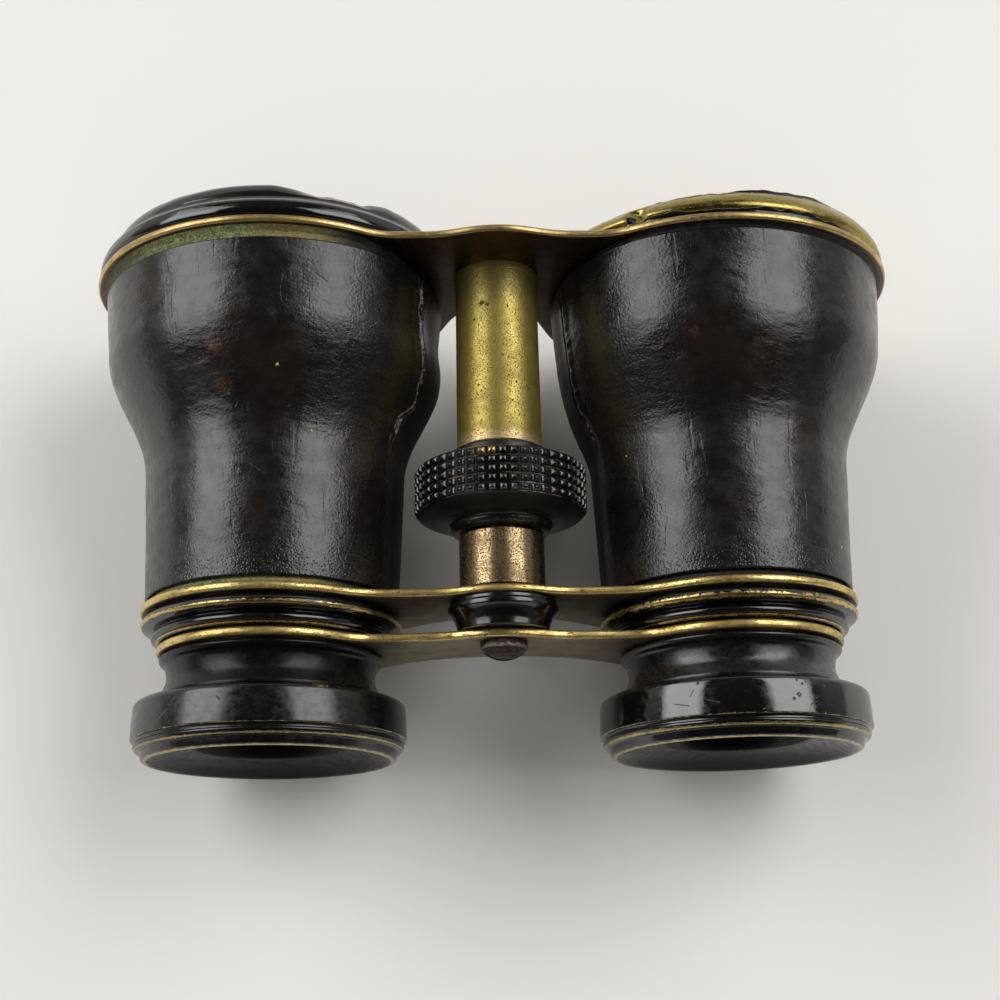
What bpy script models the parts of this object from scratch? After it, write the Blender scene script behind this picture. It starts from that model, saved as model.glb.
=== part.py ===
"""Field glasses: two leather-covered brass barrels held by three bridges, focused by a knurled wheel.

All sizes are metres. Each turned piece is built about its own Y axis, with +Y towards the objectives,
and stations along that axis are counted from the middle of the eyepiece bridge. The glasses lie on
their back, on the front bridge's rings and the eyecups, so a parent empty tilts them to rest on z = 0.
"""
from math import atan2, cos, pi, radians, sin, sqrt

import bmesh
import bpy
from mathutils import Matrix, Vector
from mathutils.geometry import interpolate_bezier

# Whole object
EYE_SPACING = 0.0640
OBJECTIVE_RADIUS = 0.0206
DRAW_TUBE_RADIUS = 0.0132
COLUMN_RISE = 0.0086
FOCUS_TRAVEL = 0.0130
FOCUS_TURNS = 2

# Clearances
SEAT_GAP = 0.0003
RUNNING_GAP = 0.0003

# Facets round each piece
BARREL_FACETS = 24
COLUMN_FACETS = 16

# Bridges
EYE_BRIDGE_THICKNESS = 0.0012
REAR_BRIDGE_THICKNESS = 0.0011
FRONT_BRIDGE_THICKNESS = 0.0011
EYE_RING_WIDTH = 0.0023
REAR_RING_WIDTH = 0.0023
FRONT_RING_WIDTH = 0.0036
BRIDGE_GAP = 0.0043
BARREL_LENGTH = 0.0473
EYE_BRIDGE_CREST = 0.0127
EYE_BRIDGE_DIP = 0.0103
EYE_BRIDGE_ARCH = -0.0010
REAR_BRIDGE_CREST = 0.0152
REAR_BRIDGE_DIP = 0.0128
REAR_BRIDGE_ARCH = -0.0010
FRONT_BRIDGE_CREST = 0.0233
FRONT_BRIDGE_DIP = 0.0214
FRONT_BRIDGE_ARCH = -0.0015
DIP_OFFSET = 0.0105
EYE_BRIDGE_JOINS = (50, 46)
REAR_BRIDGE_JOINS = (56, 42)
FRONT_BRIDGE_JOINS = (60, 38)
CURVE_REACH = 0.42

# Barrel and its leather
WAIST_GROWTH = 0.0008
SHOULDER_INSET = 0.0008
BRIDGE_REVEAL = 0.0013
SHOULDER_START = 0.0195
SHOULDER_LENGTH = 0.0170
LEATHER_THICKNESS = 0.0006
BARE_BAND_REAR = 0.0009
BARE_BAND_FRONT = 0.0013
BAND_DEPTH = 0.0004
TUBE_WALL = 0.0008

# Objective end
FRONT_SPIGOT_WALL = 0.0007
CELL_DEPTH = 0.0054
CELL_WALL = 0.0007
CELL_FLANGE = 0.0046
CELL_HEIGHT = 0.0057
CELL_OUTLINE = ((0.0, 0.0005), (0.13, 0.0), (0.38, 0.0002),
                (0.55, 0.0013), (0.70, 0.0022), (1.0, 0.0028))
LIP_WIDTH = 0.0014
LIP_RECESS = 0.0025
APERTURE_LEDGE = 0.0006
APERTURE_WALL = 0.0006
CROWN_FRONT_CURVE = 0.1150
CEMENTED_CURVE = 0.1100
CROWN_EDGE = 0.0014
FLINT_EDGE = 0.0031
OBJECTIVE_RING_HEIGHT = 0.0015
OBJECTIVE_RING_WIDTH = 0.0008

# Draw tube and its collar
DRAW_TUBE_WALL = 0.0008
DRAW_TUBE_ABOVE = 0.0294
DRAW_TUBE_BELOW = 0.0034
COLLAR_NECK_WALL = 0.0021
COLLAR_NECK_LENGTH = 0.0091
COLLAR_FLANGE = 0.0024
COLLAR_OUTLINE = ((0.0, 0.0006), (0.27, 0.0), (0.43, 0.0), (0.60, 0.0015), (1.0, 0.0020))

# Eyepiece
NECK_LENGTH = 0.0058
NECK_WALL = 0.0019
NECK_OUTLINE = ((0.0, 0.0002), (0.09, 0.0), (0.24, 0.0009), (0.50, 0.0011), (0.76, 0.0007), (1.0, 0.0004))
EYECUP_HEIGHT = 0.0080
EYECUP_FLANGE = 0.0055
EYECUP_WALL_SHARE = 0.66
EYECUP_OUTLINE = ((0.0, 0.0010), (0.10, 0.0002), (EYECUP_WALL_SHARE, 0.0), (0.83, 0.0006), (1.0, 0.0019))
EYECUP_RIM_WIDTH = 0.0010
EYECUP_SPIGOT_LENGTH = 0.0027
DISH_DEPTH = 0.0046
DISH_BULGE = 0.0006
EYE_LENS_INSET = 0.0041
EYE_LENS_CURVE = 0.0380
EYE_LENS_EDGE = 0.0034
EYE_HOLE_LEDGE = 0.0009
EYE_SEAT_DEPTH = 0.0052
EYE_LENS_RING_HEIGHT = 0.0010
EYE_LENS_RING_WIDTH = 0.0013

# Column and focusing gear
COLUMN_TUBE_RADIUS = 0.00595
COLUMN_WALL = 0.0009
SLEEVE_RADIUS = 0.00585
SLEEVE_LENGTH = 0.0077
WHEEL_RADIUS = 0.01195
WHEEL_RIM_WIDTH = 0.0063
WHEEL_CONE_HEIGHT = 0.0028
WHEEL_HUB_HEIGHT = 0.0027
WHEEL_HUB_RADIUS = 0.0069
WHEEL_FOOT_ROUNDING = 0.0009
KNURL_TEETH = 50
KNURL_DEPTH = 0.0007
KNURL_CHAMFER = 0.0003
NUT_LENGTH = 0.0190
BOSS_RADIUS = 0.00755
BOSS_OUTLINE = ((0.0, 0.0), (0.32, 0.0), (0.46, 0.0004), (0.80, 0.0012), (1.0, 0.0015))
BOSS_SPIGOT_LENGTH = 0.0040
SHANK_RADIUS = 0.0031
THREAD_RADIUS = 0.0026
THREAD_DEPTH = 0.0005
THREAD_STARTS = 3
SPINDLE_END_ROOM = 0.0024
COLUMN_SCREW_HEAD_RADIUS = 0.0056
COLUMN_SCREW_HEAD_HEIGHT = 0.0016
COLUMN_SCREW_LENGTH = 0.0083
BRIDGE_SCREW_HEAD_RADIUS = 0.0031
BRIDGE_SCREW_HEAD_HEIGHT = 0.0014
BRIDGE_SCREW_SHANK_RADIUS = 0.0016
BRIDGE_SCREW_LENGTH = 0.0079
SLOT_WIDTH = 0.0008
SLOT_DEPTH = 0.0007
SLOT_TURN = 35
SCREW_EDGE_SHARES = (0.4, 1.0)
SCREW_SHOULDER_SHARES = (0.8, 0.8)

# Stations that several pieces share, from the eyepiece bridge forwards
EYE_LOW = -EYE_BRIDGE_THICKNESS / 2
EYE_TOP = EYE_BRIDGE_THICKNESS / 2
REAR_LOW = EYE_TOP + BRIDGE_GAP
REAR_TOP = REAR_LOW + REAR_BRIDGE_THICKNESS
FRONT_LOW = REAR_TOP + BARREL_LENGTH
FRONT_TOP = FRONT_LOW + FRONT_BRIDGE_THICKNESS
LEATHER_REAR = REAR_TOP + BARE_BAND_REAR
LEATHER_FRONT = FRONT_LOW - BARE_BAND_FRONT
CELL_BASE = FRONT_TOP + SEAT_GAP
CELL_LIP = CELL_BASE + CELL_HEIGHT
CELL_REAR = FRONT_TOP - CELL_DEPTH
NECK_TOP = EYE_LOW - SEAT_GAP
NECK_FOOT = NECK_TOP - NECK_LENGTH
EYECUP_TOP = NECK_FOOT - SEAT_GAP
EYECUP_RIM = EYECUP_TOP - EYECUP_HEIGHT
EYECUP_WALL_FOOT = EYECUP_TOP - EYECUP_WALL_SHARE * EYECUP_HEIGHT
SLEEVE_TOP = REAR_TOP + SEAT_GAP + SLEEVE_LENGTH
WHEEL_LOW = SLEEVE_TOP + RUNNING_GAP
RIM_LOW = WHEEL_LOW + WHEEL_CONE_HEIGHT
RIM_TOP = RIM_LOW + WHEEL_RIM_WIDTH
WHEEL_TOP = RIM_TOP + WHEEL_HUB_HEIGHT
COLUMN_TUBE_LOW = WHEEL_TOP + RUNNING_GAP
SHANK_TOP = WHEEL_LOW
COLUMN_SCREW_END = CELL_BASE - COLUMN_SCREW_LENGTH
THREAD_LENGTH = COLUMN_SCREW_END - SPINDLE_END_ROOM - SHANK_TOP
BRIDGE_SCREW_END = NECK_TOP + BRIDGE_SCREW_LENGTH

# Radii at the objective end, from the objective outwards
OBJECTIVE_BORE = OBJECTIVE_RADIUS + SEAT_GAP
CELL_SPIGOT_RADIUS = OBJECTIVE_BORE + CELL_WALL
CELL_BEAD_RADIUS = CELL_SPIGOT_RADIUS + CELL_FLANGE
FRONT_SPIGOT_BORE = CELL_SPIGOT_RADIUS + SEAT_GAP
FRONT_SPIGOT_RADIUS = FRONT_SPIGOT_BORE + FRONT_SPIGOT_WALL
FRONT_HOLE_RADIUS = FRONT_SPIGOT_RADIUS + SEAT_GAP
FRONT_RING_RADIUS = FRONT_HOLE_RADIUS + FRONT_RING_WIDTH
LEATHER_FRONT_RADIUS = FRONT_RING_RADIUS - BRIDGE_REVEAL
LEATHER_SHOULDER_RADIUS = LEATHER_FRONT_RADIUS - SHOULDER_INSET

# Radii at the eyepiece end, from the draw tube outwards
DRAW_BORE = DRAW_TUBE_RADIUS + RUNNING_GAP
EYE_RING_RADIUS = DRAW_BORE + EYE_RING_WIDTH
NECK_BEAD_RADIUS = DRAW_BORE + NECK_WALL
EYECUP_RADIUS = DRAW_TUBE_RADIUS + EYECUP_FLANGE
EYE_LENS_RADIUS = DRAW_TUBE_RADIUS - EYE_LENS_INSET
EYE_LENS_BORE = EYE_LENS_RADIUS + SEAT_GAP
EYE_HOLE_RADIUS = EYE_LENS_RADIUS - EYE_HOLE_LEDGE
COLLAR_NECK_RADIUS = DRAW_BORE + COLLAR_NECK_WALL
COLLAR_BEAD_RADIUS = COLLAR_NECK_RADIUS + COLLAR_FLANGE
REAR_HOLE_RADIUS = COLLAR_NECK_RADIUS + SEAT_GAP
REAR_RING_RADIUS = REAR_HOLE_RADIUS + REAR_RING_WIDTH
LEATHER_REAR_RADIUS = COLLAR_NECK_RADIUS + SEAT_GAP + TUBE_WALL + SEAT_GAP + LEATHER_THICKNESS
LEATHER_WAIST_RADIUS = LEATHER_REAR_RADIUS + WAIST_GROWTH

# Radii on the column, from its tube inwards
COLUMN_BORE = COLUMN_TUBE_RADIUS - COLUMN_WALL
JOURNAL_RADIUS = COLUMN_BORE - RUNNING_GAP
SHANK_BORE = SHANK_RADIUS + RUNNING_GAP
SCREW_BORE = BRIDGE_SCREW_SHANK_RADIUS + SEAT_GAP

BRASS = ("tarnished_brass", (0.36, 0.27, 0.09, 1.0), 0.38, 1.0)
BRIDGE_BRASS = ("bridge_brass", (0.30, 0.24, 0.11, 1.0), 0.42, 1.0)
BRONZE = ("browned_brass", (0.24, 0.15, 0.08, 1.0), 0.40, 1.0)
JAPAN = ("black_japan", (0.012, 0.011, 0.011, 1.0), 0.22, 0.0)
LEATHER = ("black_leather", (0.020, 0.017, 0.016, 1.0), 0.50, 0.0)
DARK_STEEL = ("dark_steel", (0.11, 0.08, 0.08, 1.0), 0.45, 1.0)
GLASS = ("lens_glass", (0.75, 0.80, 0.78, 1.0), 0.05, 0.0)


def clear_scene():
    for thing in list(bpy.data.objects):
        bpy.data.objects.remove(thing, do_unlink=True)


def material(recipe):
    """The named Principled material, made once and then shared."""
    name, colour, roughness, metallic = recipe
    found = bpy.data.materials.get(name)
    if found:
        return found
    made = bpy.data.materials.new(name)
    made.use_nodes = True
    shader = made.node_tree.nodes["Principled BSDF"]
    shader.inputs["Base Color"].default_value = colour
    shader.inputs["Roughness"].default_value = roughness
    shader.inputs["Metallic"].default_value = metallic
    return made


def add_object(name, bm, recipe, place, parent):
    """Turn a finished bmesh into a named object under its parent."""
    bmesh.ops.recalc_face_normals(bm, faces=bm.faces)
    mesh = bpy.data.meshes.new(name)
    bm.to_mesh(mesh)
    bm.free()
    mesh.materials.append(material(recipe))
    mesh.shade_smooth()
    mesh.set_sharp_from_angle(angle=radians(35))
    thing = bpy.data.objects.new(name, mesh)
    bpy.context.collection.objects.link(thing)
    thing.location = place
    thing.parent = parent
    return thing


def add_empty(name, place, parent):
    thing = bpy.data.objects.new(name, None)
    bpy.context.collection.objects.link(thing)
    thing.location = place
    thing.parent = parent
    return thing


def turned(profile, facets, closed=True):
    """Spin a profile of (radius, station) points about the Y axis.

    A closed profile goes round a ring's section; an open one starts and ends on the axis.
    """
    bm = bmesh.new()
    points = [bm.verts.new((radius, station, 0.0)) for radius, station in profile]
    pairs = list(zip(points, points[1:]))
    if closed:
        pairs.append((points[-1], points[0]))
    edges = [bm.edges.new(pair) for pair in pairs]
    bmesh.ops.spin(bm, geom=points + edges, axis=(0, 1, 0), cent=(0, 0, 0), angle=2 * pi,
                   steps=facets, use_merge=True, use_duplicate=False)
    bmesh.ops.remove_doubles(bm, verts=bm.verts, dist=1e-6)
    return bm


def outline(radius, start, way, height, shares):
    """Outer points of a turned piece, from its seat outwards.

    Each pair holds a share of the height and a depth below the largest radius.
    """
    return [(radius - depth, start + way * share * height) for share, depth in shares]


def barrel_radius(station):
    """Outer radius of the leather: a rear cone, a smooth shoulder and a front cone."""
    start = REAR_TOP + SHOULDER_START
    end = start + SHOULDER_LENGTH
    rear_slope = (LEATHER_WAIST_RADIUS - LEATHER_REAR_RADIUS) / (start - LEATHER_REAR)
    front_slope = (LEATHER_FRONT_RADIUS - LEATHER_SHOULDER_RADIUS) / (LEATHER_FRONT - end)
    rear = LEATHER_REAR_RADIUS + rear_slope * (station - LEATHER_REAR)
    front = LEATHER_SHOULDER_RADIUS + front_slope * (station - end)
    share = min(max((station - start) / SHOULDER_LENGTH, 0.0), 1.0)
    share = share * share * (3 - 2 * share)
    return rear + share * (front - rear)


def barrel_line(inset, low, high):
    """Points along the barrel at a given depth under the leather's surface."""
    start = REAR_TOP + SHOULDER_START
    stations = [low]
    stations += [start + SHOULDER_LENGTH * k / 4 for k in range(5)]
    stations.append(high)
    return [(barrel_radius(station) - inset, station) for station in stations]


def lens_surface(edge_radius, station, curve, steps=2):
    """Points from the lens edge to the axis; a positive curve bulges towards the objectives."""
    points = []
    for k in range(steps + 1):
        radius = edge_radius * (1 - k / steps)
        sag = sqrt(curve * curve - radius * radius) - sqrt(curve * curve - edge_radius * edge_radius)
        points.append((radius, station + (sag if curve > 0 else -sag)))
    return points


def barrel_tube(side, place, parent):
    depth = LEATHER_THICKNESS + SEAT_GAP
    outer = barrel_line(depth, LEATHER_REAR, LEATHER_FRONT)
    inner = barrel_line(depth + TUBE_WALL, REAR_TOP + SEAT_GAP, CELL_REAR - SEAT_GAP)
    rear_band = barrel_radius(LEATHER_REAR) - BAND_DEPTH
    front_band = barrel_radius(LEATHER_FRONT) - BAND_DEPTH
    profile = [(rear_band, REAR_TOP + SEAT_GAP), (rear_band, LEATHER_REAR - SEAT_GAP)]
    profile += [(outer[0][0], LEATHER_REAR - SEAT_GAP)] + outer[1:-1]
    profile += [(outer[-1][0], LEATHER_FRONT + SEAT_GAP), (front_band, LEATHER_FRONT + SEAT_GAP)]
    profile += [(front_band, FRONT_LOW - SEAT_GAP), (FRONT_SPIGOT_RADIUS, FRONT_LOW - SEAT_GAP)]
    profile += [(FRONT_SPIGOT_RADIUS, FRONT_TOP), (FRONT_SPIGOT_BORE, FRONT_TOP)]
    profile.append((FRONT_SPIGOT_BORE, CELL_REAR - SEAT_GAP))
    profile += inner[::-1]
    add_object(side + "barrel_tube", turned(profile, BARREL_FACETS), BRASS, place, parent)


def leather_cover(side, place, parent):
    outer = barrel_line(0.0, LEATHER_REAR, LEATHER_FRONT)
    inner = barrel_line(LEATHER_THICKNESS, LEATHER_REAR, LEATHER_FRONT)
    profile = outer + inner[::-1]
    add_object(side + "leather_cover", turned(profile, BARREL_FACETS), LEATHER, place, parent)


def objective_cell(side, place, parent):
    """Black cell in front of the bridge; gives back the station of the ledge that the lens meets."""
    aperture = OBJECTIVE_RADIUS - APERTURE_LEDGE
    mouth = CELL_LIP - LIP_RECESS
    seat = mouth - APERTURE_WALL
    profile = [(CELL_SPIGOT_RADIUS, CELL_REAR), (CELL_SPIGOT_RADIUS, CELL_BASE)]
    profile += outline(CELL_BEAD_RADIUS, CELL_BASE, 1, CELL_HEIGHT, CELL_OUTLINE)
    profile += [(profile[-1][0] - LIP_WIDTH, CELL_LIP), (aperture, mouth), (aperture, seat)]
    profile += [(OBJECTIVE_BORE, seat), (OBJECTIVE_BORE, CELL_REAR)]
    add_object(side + "objective_cell", turned(profile, BARREL_FACETS), JAPAN, place, parent)
    return seat


def objective_lenses(side, seat, place, parent):
    """A crown and a flint behind it, and the ring that holds them in the cell."""
    radius = OBJECTIVE_RADIUS
    crown_front = seat - SEAT_GAP
    crown_rear = crown_front - CROWN_EDGE
    front = lens_surface(radius, crown_front, CROWN_FRONT_CURVE)
    rear = lens_surface(radius, crown_rear, -CEMENTED_CURVE)
    crown = turned(front[::-1] + rear, BARREL_FACETS, closed=False)
    add_object(side + "objective_crown", crown, GLASS, place, parent)

    flint_front = crown_rear - SEAT_GAP
    flint_rear = flint_front - FLINT_EDGE
    hollow = lens_surface(radius, flint_front, -CEMENTED_CURVE)
    flint = turned(hollow[::-1] + [(radius, flint_rear), (0.0, flint_rear)], BARREL_FACETS, closed=False)
    add_object(side + "objective_flint", flint, GLASS, place, parent)

    ring_top = flint_rear - SEAT_GAP
    ring_low = ring_top - OBJECTIVE_RING_HEIGHT
    inside = radius - OBJECTIVE_RING_WIDTH
    profile = [(radius, ring_low), (radius, ring_top), (inside, ring_top), (inside, ring_low)]
    add_object(side + "objective_ring", turned(profile, BARREL_FACETS), JAPAN, place, parent)


def draw_collar(side, place, parent):
    """Collar under the rear bridge, whose long neck holds the barrel and guides the draw tube."""
    top = REAR_LOW - SEAT_GAP
    foot = EYE_TOP + RUNNING_GAP
    neck_top = REAR_LOW + COLLAR_NECK_LENGTH
    profile = [(COLLAR_NECK_RADIUS, neck_top), (COLLAR_NECK_RADIUS, top)]
    profile += outline(COLLAR_BEAD_RADIUS, top, -1, top - foot, COLLAR_OUTLINE)
    profile += [(DRAW_BORE, foot), (DRAW_BORE, neck_top)]
    add_object(side + "draw_collar", turned(profile, BARREL_FACETS), JAPAN, place, parent)


def draw_tube(side, place, parent):
    low = EYE_LOW - DRAW_TUBE_BELOW
    high = EYE_TOP + DRAW_TUBE_ABOVE
    inside = DRAW_TUBE_RADIUS - DRAW_TUBE_WALL
    profile = [(DRAW_TUBE_RADIUS, low), (DRAW_TUBE_RADIUS, high), (inside, high), (inside, low)]
    add_object(side + "draw_tube", turned(profile, BARREL_FACETS), BRASS, place, parent)


def eyepiece_neck(side, place, parent):
    profile = [(DRAW_BORE, NECK_TOP)]
    profile += outline(NECK_BEAD_RADIUS, NECK_TOP, -1, NECK_LENGTH, NECK_OUTLINE)
    profile.append((DRAW_BORE, NECK_FOOT))
    add_object(side + "eyepiece_neck", turned(profile, BARREL_FACETS), JAPAN, place, parent)


def eyecup(side, place, parent):
    """Cup with a dished mouth, screwed into the neck by a spigot that holds the eye lens."""
    spigot_top = EYECUP_TOP + EYECUP_SPIGOT_LENGTH
    seat = spigot_top - EYE_SEAT_DEPTH
    dish_floor = EYECUP_RIM + DISH_DEPTH
    profile = [(DRAW_TUBE_RADIUS, spigot_top), (DRAW_TUBE_RADIUS, EYECUP_TOP)]
    profile += outline(EYECUP_RADIUS, EYECUP_TOP, -1, EYECUP_HEIGHT, EYECUP_OUTLINE)
    mouth = profile[-1][0] - EYECUP_RIM_WIDTH
    halfway = (mouth + EYE_HOLE_RADIUS) / 2
    profile += [(mouth, EYECUP_RIM), (halfway, EYECUP_RIM + DISH_DEPTH / 2 + DISH_BULGE)]
    profile += [(EYE_HOLE_RADIUS, dish_floor), (EYE_HOLE_RADIUS, seat)]
    profile += [(EYE_LENS_BORE, seat), (EYE_LENS_BORE, spigot_top)]
    add_object(side + "eyecup", turned(profile, BARREL_FACETS), JAPAN, place, parent)
    return seat + SEAT_GAP


def eye_lens(side, seat, place, parent):
    """A hollow lens on its seat, and the ring above it."""
    rear = lens_surface(EYE_LENS_RADIUS, seat, EYE_LENS_CURVE)
    front_edge = seat + EYE_LENS_EDGE
    front = lens_surface(EYE_LENS_RADIUS, front_edge, -EYE_LENS_CURVE)
    lens = turned(front[::-1] + rear, BARREL_FACETS, closed=False)
    add_object(side + "eye_lens", lens, GLASS, place, parent)

    ring_low = front_edge + SEAT_GAP
    ring_top = ring_low + EYE_LENS_RING_HEIGHT
    outside = EYE_LENS_RADIUS
    inside = outside - EYE_LENS_RING_WIDTH
    profile = [(outside, ring_low), (outside, ring_top), (inside, ring_top), (inside, ring_low)]
    add_object(side + "eye_lens_ring", turned(profile, BARREL_FACETS), JAPAN, place, parent)


def ring_arc(radius, first, last, steps):
    """Points on the right ring, in degrees from its inner side over the top."""
    centre = EYE_SPACING / 2
    angles = [radians(first + (last - first) * k / steps) for k in range(steps + 1)]
    return [Vector((centre - radius * cos(a), radius * sin(a))) for a in angles]


def flowing(start, start_way, end, end_way, steps):
    """A smooth curve between two points, leaving and arriving in the given directions."""
    reach = (end - start).length * CURVE_REACH
    points = interpolate_bezier(start, start + start_way * reach, end - end_way * reach, end, steps + 1)
    return [Vector((p[0], p[1])) for p in points]


def bridge_outline(radius, crest, dip, arch, joins):
    """Closed outline of a bridge: two rings and a waist with a small crest over the column."""
    near_join, far_join = joins
    right = Vector((1.0, 0.0))
    near_way = Vector((sin(radians(near_join)), cos(radians(near_join))))
    far_way = Vector((sin(radians(far_join)), -cos(radians(far_join))))
    centre = Vector((0.0, crest))
    low = Vector((DIP_OFFSET, dip))
    near_arc = ring_arc(radius, near_join, 90, 3)
    round_arc = ring_arc(radius, 90, 270, 16)
    far_arc = ring_arc(radius, 270, 360 - far_join, 3)
    half = flowing(centre, right, low, right, 6)
    half += flowing(low, right, near_arc[0], near_way, 5)[1:]
    half += near_arc[1:] + round_arc[1:] + far_arc[1:]
    arch_curve = flowing(Vector((0.0, arch)), right, far_arc[-1], far_way, 8)
    half += arch_curve[::-1][1:]
    mirrored = [Vector((-p.x, p.y)) for p in half[1:-1]]
    return half + mirrored[::-1]


def hole_outline(across, up, radius, facets):
    angles = [2 * pi * k / facets for k in range(facets)]
    return [Vector((across + radius * cos(a), up + radius * sin(a))) for a in angles]


def add_plate(name, low, thickness, loops, recipe, parent):
    """Fill an outline and its holes, then extrude the plate forwards from its rear face."""
    bm = bmesh.new()
    edges = []
    for loop in loops:
        points = [bm.verts.new((p.x, 0.0, p.y)) for p in loop]
        edges += [bm.edges.new(pair) for pair in zip(points, points[1:] + points[:1])]
    bmesh.ops.triangle_fill(bm, use_beauty=True, use_dissolve=False, edges=edges)
    grown = bmesh.ops.extrude_face_region(bm, geom=bm.faces[:])
    moved = [item for item in grown["geom"] if isinstance(item, bmesh.types.BMVert)]
    bmesh.ops.translate(bm, verts=moved, vec=(0.0, thickness, 0.0))
    return add_object(name, bm, recipe, (0.0, low, 0.0), parent)


def bridges(fixed, carriage):
    half = EYE_SPACING / 2
    front = [bridge_outline(FRONT_RING_RADIUS, FRONT_BRIDGE_CREST, FRONT_BRIDGE_DIP,
                            FRONT_BRIDGE_ARCH, FRONT_BRIDGE_JOINS)]
    rear = [bridge_outline(REAR_RING_RADIUS, REAR_BRIDGE_CREST, REAR_BRIDGE_DIP,
                           REAR_BRIDGE_ARCH, REAR_BRIDGE_JOINS)]
    moving = [bridge_outline(EYE_RING_RADIUS, EYE_BRIDGE_CREST, EYE_BRIDGE_DIP,
                             EYE_BRIDGE_ARCH, EYE_BRIDGE_JOINS)]
    for across in (-half, half):
        front.append(hole_outline(across, 0.0, FRONT_HOLE_RADIUS, BARREL_FACETS))
        rear.append(hole_outline(across, 0.0, REAR_HOLE_RADIUS, BARREL_FACETS))
        moving.append(hole_outline(across, 0.0, DRAW_BORE, BARREL_FACETS))
    front.append(hole_outline(0.0, COLUMN_RISE, COLUMN_BORE, COLUMN_FACETS))
    rear.append(hole_outline(0.0, COLUMN_RISE, COLUMN_BORE, COLUMN_FACETS))
    moving.append(hole_outline(0.0, COLUMN_RISE, SCREW_BORE, COLUMN_FACETS))
    add_plate("front_bridge", FRONT_LOW, FRONT_BRIDGE_THICKNESS, front, BRIDGE_BRASS, fixed)
    add_plate("rear_bridge", REAR_LOW, REAR_BRIDGE_THICKNESS, rear, BRIDGE_BRASS, fixed)
    add_plate("eyepiece_bridge", EYE_LOW, EYE_BRIDGE_THICKNESS, moving, BRIDGE_BRASS, carriage)


def column_pieces(place, parent):
    """The tube above the wheel, the sleeve below it and the boss that clamps the sleeve."""
    top = FRONT_LOW - SEAT_GAP
    tube = [(COLUMN_TUBE_RADIUS, COLUMN_TUBE_LOW), (COLUMN_TUBE_RADIUS, top)]
    tube += [(COLUMN_BORE, top), (COLUMN_BORE, COLUMN_TUBE_LOW)]
    add_object("column_tube", turned(tube, COLUMN_FACETS), BRASS, place, parent)

    low = REAR_TOP + SEAT_GAP
    sleeve = [(SLEEVE_RADIUS, low), (SLEEVE_RADIUS, SLEEVE_TOP)]
    sleeve += [(COLUMN_BORE, SLEEVE_TOP), (COLUMN_BORE, low)]
    add_object("column_sleeve", turned(sleeve, COLUMN_FACETS), BRONZE, place, parent)

    foot = EYE_TOP + RUNNING_GAP
    rim = REAR_LOW - SEAT_GAP
    spigot_top = REAR_TOP + BOSS_SPIGOT_LENGTH
    boss = [(SHANK_BORE, spigot_top), (JOURNAL_RADIUS, spigot_top), (JOURNAL_RADIUS, rim)]
    boss += outline(BOSS_RADIUS, rim, -1, rim - foot, BOSS_OUTLINE)
    boss.append((SHANK_BORE, foot))
    add_object("guide_boss", turned(boss, COLUMN_FACETS), JAPAN, place, parent)


def focus_wheel(place, parent):
    """Knurled wheel on a threaded nut, both turning on the column's axis."""
    bore = COLUMN_BORE
    inside_rim = WHEEL_RADIUS - KNURL_DEPTH
    profile = [(bore, WHEEL_LOW), (WHEEL_HUB_RADIUS - WHEEL_FOOT_ROUNDING, WHEEL_LOW)]
    profile += [(WHEEL_HUB_RADIUS, WHEEL_LOW + WHEEL_FOOT_ROUNDING), (inside_rim, RIM_LOW)]
    profile += [(WHEEL_RADIUS, RIM_LOW + KNURL_CHAMFER), (WHEEL_RADIUS, RIM_TOP - KNURL_CHAMFER)]
    profile += [(inside_rim, RIM_TOP), (WHEEL_HUB_RADIUS, RIM_TOP)]
    profile += [(WHEEL_HUB_RADIUS, WHEEL_TOP), (bore, WHEEL_TOP)]
    bm = turned(profile, 2 * KNURL_TEETH)
    for vert in bm.verts:
        around = atan2(vert.co.z, vert.co.x) * KNURL_TEETH / pi
        radius = sqrt(vert.co.x ** 2 + vert.co.z ** 2)
        if round(around) % 2 and radius > WHEEL_RADIUS - KNURL_DEPTH / 2:
            vert.co.x *= inside_rim / radius
            vert.co.z *= inside_rim / radius
    add_object("focus_wheel", bm, JAPAN, place, parent)

    nut_low = WHEEL_LOW + SEAT_GAP
    nut_top = nut_low + NUT_LENGTH
    nut_bore = THREAD_RADIUS + RUNNING_GAP
    nut = [(JOURNAL_RADIUS, nut_low), (JOURNAL_RADIUS, nut_top), (nut_bore, nut_top), (nut_bore, nut_low)]
    add_object("focus_nut", turned(nut, COLUMN_FACETS), BRASS, place, parent)


def focus_spindle(place, parent):
    """Plain shank with a tapped foot, and a right-handed screw with several starts above it."""
    points = 3 * THREAD_STARTS
    lead = FOCUS_TRAVEL / FOCUS_TURNS
    rings = int(THREAD_LENGTH / lead * points)
    bm = bmesh.new()
    foot = EYE_TOP + SEAT_GAP
    hole_end = BRIDGE_SCREW_END + SEAT_GAP
    shank = ((SCREW_BORE, hole_end), (SCREW_BORE, foot), (SHANK_RADIUS, foot), (SHANK_RADIUS, SHANK_TOP))
    rows = []
    for radius, station in shank:
        rows.append([(radius, station, 2 * pi * k / points) for k in range(points)])
    for ring in range(rings + 1):
        station = SHANK_TOP + THREAD_LENGTH * ring / rings
        row = []
        for k in range(points):
            radius = THREAD_RADIUS - (THREAD_DEPTH if (k - ring) % 3 else 0.0)
            row.append((radius, station, 2 * pi * k / points))
        rows.append(row)
    grid = [[bm.verts.new((r * cos(a), y, r * sin(a))) for r, y, a in row] for row in rows]
    for lower, upper in zip(grid, grid[1:]):
        for k in range(points):
            after = (k + 1) % points
            bm.faces.new((lower[k], lower[after], upper[after], upper[k]))
    bm.faces.new(grid[0][::-1])
    bm.faces.new(grid[-1])
    add_object("focus_spindle", bm, BRONZE, place, parent)


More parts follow.
